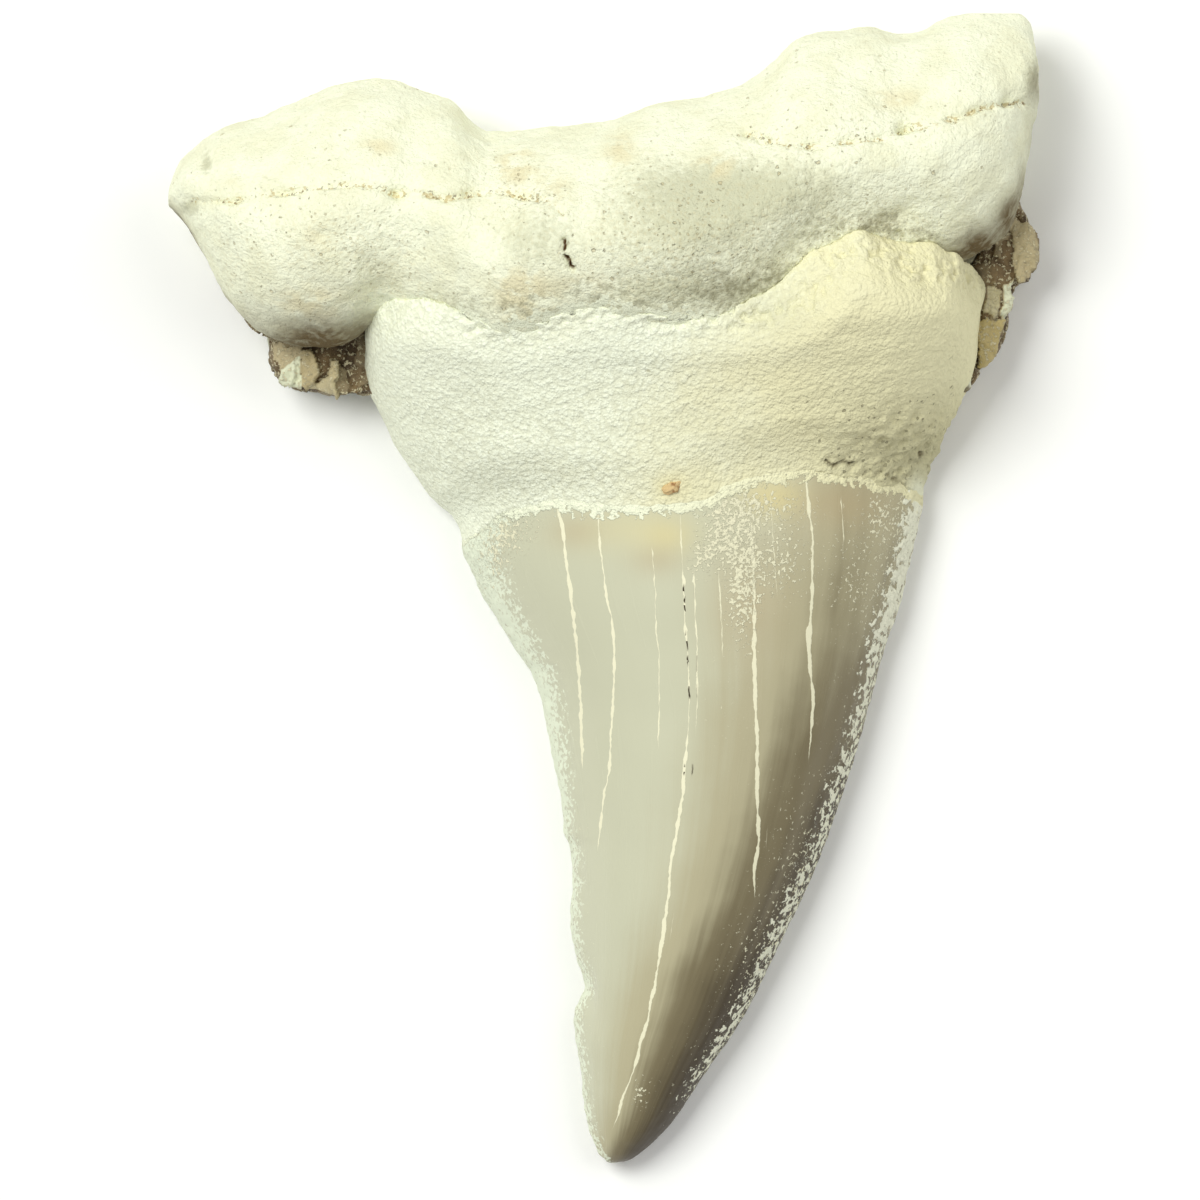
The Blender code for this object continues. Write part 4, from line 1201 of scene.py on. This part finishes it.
def bumpInto(inputs, height, distance):
    node = addNode(height.id_data, "ShaderNodeBump", Strength=1.0, Distance=distance * mm, Height=height)
    put(node.outputs[0], inputs["Normal"])


chalk = dict(
    cream=colour(250, 252, 226),
    shade=colour(238, 237, 204),
    grey=colour(200, 200, 170),
    stain=colour(232, 222, 182),
    dim=colour(160, 156, 126),
    dust=colour(204, 186, 138),
    dark=colour(98, 68, 34),
    recess=colour(112, 96, 66),
    sandy=colour(243, 246, 220),
)


def chalkMaterial():
    material, tree, inputs = newMaterial("chalkyRoot", 0.92, 0.18)
    place = placeInMm(tree)
    fine = softNoise(place, 0.35, 4)
    porous, bright, furrow = (field(tree, name) for name in ("porous", "bright", "furrow"))
    mottle = steps(softNoise(place, 2.4, 4), 0.38, 0.66)
    greyCover = plus(field(tree, "grey"), times(minus(fine, 0.5), 1.2))
    stainCover = times(field(tree, "stain"), steps(softNoise(place, 1.1, 4), 0.32, 0.58))
    share = times(minus(porous, bright), 0.65)
    pitted = greater(pores(place, 0.55, share, 0.17), times(pores(place, 0.28, share, 0.22), 0.7))
    speckle = steps(softNoise(place, 0.22, 3), 0.50, 0.66, 0, 0.22)
    dust = powder(place, times(furrow, 0.58), 0.30, 0.25)["Mask"]
    deep = powder(place, times(furrow, 0.34), 0.24, 0.14)["Mask"]
    # painted shade in crumbly patches just above the crust
    crumbs = powder(place, times(field(tree, "dim"), 1.1), 0.42, 1.1)["Mask"]
    fringe = powder(place, times(field(tree, "fringe"), 0.85), 0.46, 0.12)["Mask"]
    # painted shade, brown, on the lobes' undersides and the low sides
    recess = times(field(tree, "recess"), steps(softNoise(place, 0.5, 4), 0.3, 0.6, 0.75, 1.0))
    base = paint(
        mixColour(times(mottle, 0.55), chalk["cream"], chalk["shade"]),
        (steps(greyCover, 0.15, 1.1, 0, 0.8), chalk["grey"]),
        (steps(stainCover, 0.05, 0.9, 0, 0.75), chalk["stain"]),
        (times(bright, 0.9), chalk["cream"]),
        (times(speckle, plus(porous, 0.3)), chalk["dust"]),
        (times(pitted, 0.45), chalk["dust"]),
        (times(dust, 0.75), chalk["dust"]),
        (times(deep, 0.65), chalk["dark"]),
        (steps(field(tree, "gap"), 0.3, 0.8), chalk["dark"]),
        (times(crumbs, 0.95), chalk["dim"]),
        (fringe, chalk["sandy"]),
        (recess, chalk["recess"]),
    )
    put(base, inputs["Base Color"])
    height = plus(fine, times(softNoise(place, 0.14, 3), 0.6))
    bumpInto(inputs, minus(height, times(pitted, 0.9)), 0.17)
    return material


rock = dict(
    pale=colour(251, 255, 234),
    grain=colour(243, 246, 220),
    gap=colour(182, 178, 144),
    joint=colour(104, 92, 66),
    warm=colour(236, 230, 188),
)


def rockMaterial():
    material, tree, inputs = newMaterial("sandyRock", 0.95, 0.15)
    place = placeInMm(tree)
    shade = field(tree, "shade")
    large, small = grains(place, 0.32), grains(place, 0.16)
    low = minus(1.0, times(large["Height"], small["Height"]))
    # warm tone, partly painted shade on the right side
    warmth = plus(field(tree, "warmth"), minus(softNoise(place, 5.0, 3), 0.5))
    specks = pores(place, 0.9, 0.16, 0.12)
    pits = pores(place, 0.34, times(shade, 0.75), 0.26)
    base = paint(
        mixColour(steps(large["Tone"], 0.35, 1.0, 0, 0.30), rock["pale"], rock["grain"]),
        (steps(low, 0.50, 0.90, 0, 0.30), rock["gap"]),
        (times(steps(low, 0.30, 0.65, 0.1, 1), shade), rock["joint"]),
        (steps(warmth, 0.0, 1.0, 0, 0.9), rock["warm"]),
        (times(specks, 0.55), rock["gap"]),
        (times(pits, 0.6), rock["joint"]),
        (times(shade, 0.42), rock["gap"]),
        (times(field(tree, "plain"), 0.7), rock["pale"]),
        (times(field(tree, "dull"), 0.6), rock["gap"]),
        (field(tree, "joint"), rock["joint"]),
    )
    put(base, inputs["Base Color"])
    height = plus(large["Height"], times(small["Height"], 0.6))
    height = plus(height, times(softNoise(place, 0.12, 3), 0.5))
    bumpInto(inputs, minus(height, pits), 0.09)
    return material


gloss = dict(
    pale=colour(202, 202, 177),
    middle=colour(184, 177, 146),
    brown=colour(126, 116, 89),
    dark=colour(66, 54, 34),
    yellow=colour(222, 208, 150),
    tan=colour(182, 158, 118),
    filling=colour(244, 240, 210),
    fleck=colour(235, 231, 201),
    crust=colour(248, 248, 226),
    greenish=colour(236, 243, 221),
    gap=colour(66, 56, 40),
)


def enamelTone(tree, streaks, clouds):
    # the enamel's colour, from its pale left side to its dark right one: partly its own tone, partly painted
    # light, with a painted sheen on the lit left side and painted shade on the right side turned from the
    # light
    tone = plus(field(tree, "dark"), times(minus(streaks, 0.5), 0.45))
    tone = plus(tone, times(minus(clouds, 0.5), 0.35))
    ramp = addNode(tree, "ShaderNodeValToRGB")
    ramp.color_ramp.interpolation = "EASE"
    stops = ramp.color_ramp.elements
    stops[0].position, stops[0].color = 0.0, gloss["pale"]
    stops[1].position, stops[1].color = 1.0, gloss["dark"]
    for position, shade in ((0.40, gloss["middle"]), (0.72, gloss["brown"])):
        stops.new(position).color = shade
    put(steps(tone, -1.0, 1.4), ramp.inputs[0])
    return ramp.outputs[0]


def enamelMaterial():
    material, tree, inputs = newMaterial("enamel", 0.24, 0.32)
    place = placeInMm(tree)
    across = field(tree, "across")
    along = addNode(tree, "ShaderNodeCombineXYZ", X=across, Y=times(field(tree, "along"), 0.05))
    streaks = softNoise(along.outputs[0], 0.8, 5)
    # filled cracks, and where they stand open
    wander = times(minus(softNoise(place, 0.5, 3), 0.5), 0.16)
    beside = calc("ABSOLUTE", plus(field(tree, "crackOffset"), wander), 0)
    width = times(field(tree, "crackWidth"), steps(softNoise(place, 0.8, 2), 0.3, 0.7, 0.40, 1.12))
    crack = calc("DIVIDE", minus(width, beside), 0.03, clamp=True)
    gaps = calc("DIVIDE", minus(0.06, beside), 0.03, clamp=True)
    dashes = calc("GREATER_THAN", softNoise(place, 0.45, 1), 0.46)
    gaps = times(times(gaps, field(tree, "open")), dashes)
    # powder and crumbs
    crust = powder(place, field(tree, "crust"), 0.44, 0.08)
    dusting = powder(place, field(tree, "dusting"), 0.30, 0.28)["Mask"]
    flecks = powder(place, times(field(tree, "flecks"), 0.66), 0.21, 0.12)
    fringe = powder(place, field(tree, "fringe"), 0.42, 0.07)
    white = greater(crust["Mask"], fringe["Mask"])
    # crumbs warmer and darker towards the right, like the rock: partly their own tone, partly painted shade
    crumb = mixColour(steps(across, -4.0, 8.0, 0, 0.9), rock["grain"], rock["warm"])
    base = paint(
        enamelTone(tree, streaks, softNoise(place, 4.0, 3)),
        (times(field(tree, "yellow"), 0.6), gloss["yellow"]),
        (field(tree, "tan"), gloss["tan"]),
        (times(crack, 0.9), gloss["filling"]),
        (gaps, gloss["gap"]),
        (flecks["Mask"], gloss["fleck"]),
        (times(dusting, 0.8), gloss["greenish"]),
        (times(white, 0.92), gloss["crust"]),
        (fringe["Mask"], crumb),
    )
    put(base, inputs["Base Color"])
    matte = greater(greater(white, greater(flecks["Mask"], dusting)), crack)
    rough = plus(times(matte, 0.6), times(streaks, 0.2))
    put(plus(rough, steps(field(tree, "dark"), 0.3, 1.2, 0.16, 0.36)), inputs["Roughness"])
    height = plus(greater(crust["Height"], fringe["Height"]), times(flecks["Height"], 0.6))
    height = plus(plus(height, times(streaks, 0.12)), times(crack, 0.12))
    bumpInto(inputs, height, 0.10)
    return material


dentine = dict(
    dark=colour(74, 58, 36),
    brown=colour(122, 102, 70),
    tan=colour(190, 176, 140),
    pale=colour(224, 226, 196),
    ochre=colour(196, 178, 120),
    fleck=colour(226, 216, 180),
)


def dentineMaterial():
    material, tree, inputs = newMaterial("brokenDentine", 0.6, 0.35)
    place = placeInMm(tree)
    pallor = field(tree, "pallor")
    mottle = steps(softNoise(place, 0.9, 4), 0.35, 0.65)
    flecks = powder(place, 0.30, 0.22, 0.08)
    base = paint(
        mixColour(mottle, dentine["dark"], dentine["brown"]),
        (steps(field(tree, "cell"), 0.5, 1.0, 0, 0.5), dentine["tan"]),
        (steps(pallor, 0.05, 0.5), dentine["tan"]),
        (steps(pallor, 0.5, 1.0), dentine["pale"]),
        (times(field(tree, "ochre"), 0.8), dentine["ochre"]),
        (times(flecks["Mask"], 0.8), dentine["fleck"]),
    )
    put(base, inputs["Base Color"])
    bumpInto(inputs, plus(softNoise(place, 0.25, 4), times(flecks["Height"], 0.8)), 0.12)
    return material


rust = dict(
    pale=colour(214, 186, 136),
    dark=colour(150, 108, 68),
)


def pebbleMaterial():
    material, tree, inputs = newMaterial("rustyPebble", 0.75, 0.3)
    place = placeInMm(tree)
    spots = steps(softNoise(place, 0.32, 4), 0.48, 0.66)
    put(mixColour(spots, rust["pale"], rust["dark"]), inputs["Base Color"])
    bumpInto(inputs, softNoise(place, 0.12, 3), 0.06)
    return material


print("making the materials")
powderTree, grainTree, poreTree = powderGroup(), grainGroup(), poreGroup()
brokenDentine = dentineMaterial()
finishes = [
    # piece, material, node of the solid, slot
    (rootPiece, chalkMaterial(), "tooth", "tooth"),
    (crownPiece, enamelMaterial(), "tooth", "enamel"),
    (leftPiece, brokenDentine, "tooth", "broken_dentine"),
    (rightPiece, brokenDentine, "tooth", "broken_dentine"),
    (sandPiece, rockMaterial(), "sandy_matrix", "sandy_matrix"),
    (pebblePiece, pebbleMaterial(), "sandy_matrix", "sandy_matrix"),
]
low, high = (np.array(corner) / mm + drawnMiddle for corner in cadBox)
for piece, material, node, slotName in finishes:
    places = placesOf(piece.data)[0]
    putPlaces(piece.data, np.clip(places, low, high))  # worn flat where it rests
    piece.data.materials.clear()
    piece.data.materials.append(material)
    piece.data.shade_smooth()
    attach(piece, "root")
    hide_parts(node)


print("setting the stage")


stage = dict(
    floor=colour(252, 252, 252),
    floorSize=2.4,
    lens=1200.0,
    sensor=36.0,
    seen=67.94,  # millimetres across the picture, at that height over the floor
    height=4.0,
    middle=(-0.226, -0.589),  # where the camera looks, in mm
    lights=[
        # name, place, size, power, colour
        ("keyLight", (-0.58, 0.42, 1.22), 0.70, 14.6, (0.985, 1.0, 0.95)),
        ("fillLight", (0.85, 0.3, 1.1), 1.0, 5.0, (0.99, 0.99, 0.91)),
    ],
    sky=0.36,
)


def makeFloor():
    bpy.ops.mesh.primitive_plane_add(size=stage["floorSize"])
    floor = bpy.context.active_object
    floor.name = "floor"
    material, tree, inputs = newMaterial("paleFloor", 0.9, 0.1)
    inputs["Base Color"].default_value = stage["floor"]
    floor.data.materials.append(material)


def makeLights():
    for name, place, size, power, tint in stage["lights"]:
        lamp = bpy.data.lights.new(name, "AREA")
        lamp.size, lamp.energy, lamp.color = size, power, tint
        obj = addObject(name, lamp)
        obj.location = place
        obj.rotation_euler = (-Vector(place)).to_track_quat("-Z", "Y").to_euler()
    world = bpy.data.worlds.new("softSky")
    world.use_nodes = True
    light = world.node_tree.nodes["Background"].inputs
    light["Color"].default_value = (1, 1, 1, 1)
    light["Strength"].default_value = stage["sky"]
    bpy.context.scene.world = world


def makeCamera():
    lens = bpy.data.cameras.new("camera")
    lens.lens, lens.sensor_width = stage["lens"], stage["sensor"]
    lens.clip_start, lens.clip_end = 0.1, 20.0
    camera = addObject("camera", lens)
    away = stage["seen"] * stage["lens"] / stage["sensor"] + stage["height"]
    camera.location = (stage["middle"][0] * mm, stage["middle"][1] * mm, away * mm)
    bpy.context.scene.camera = camera


makeFloor()
makeLights()
makeCamera()
bpy.context.scene.view_settings.view_transform = "Standard"

bpy.context.view_layer.update()
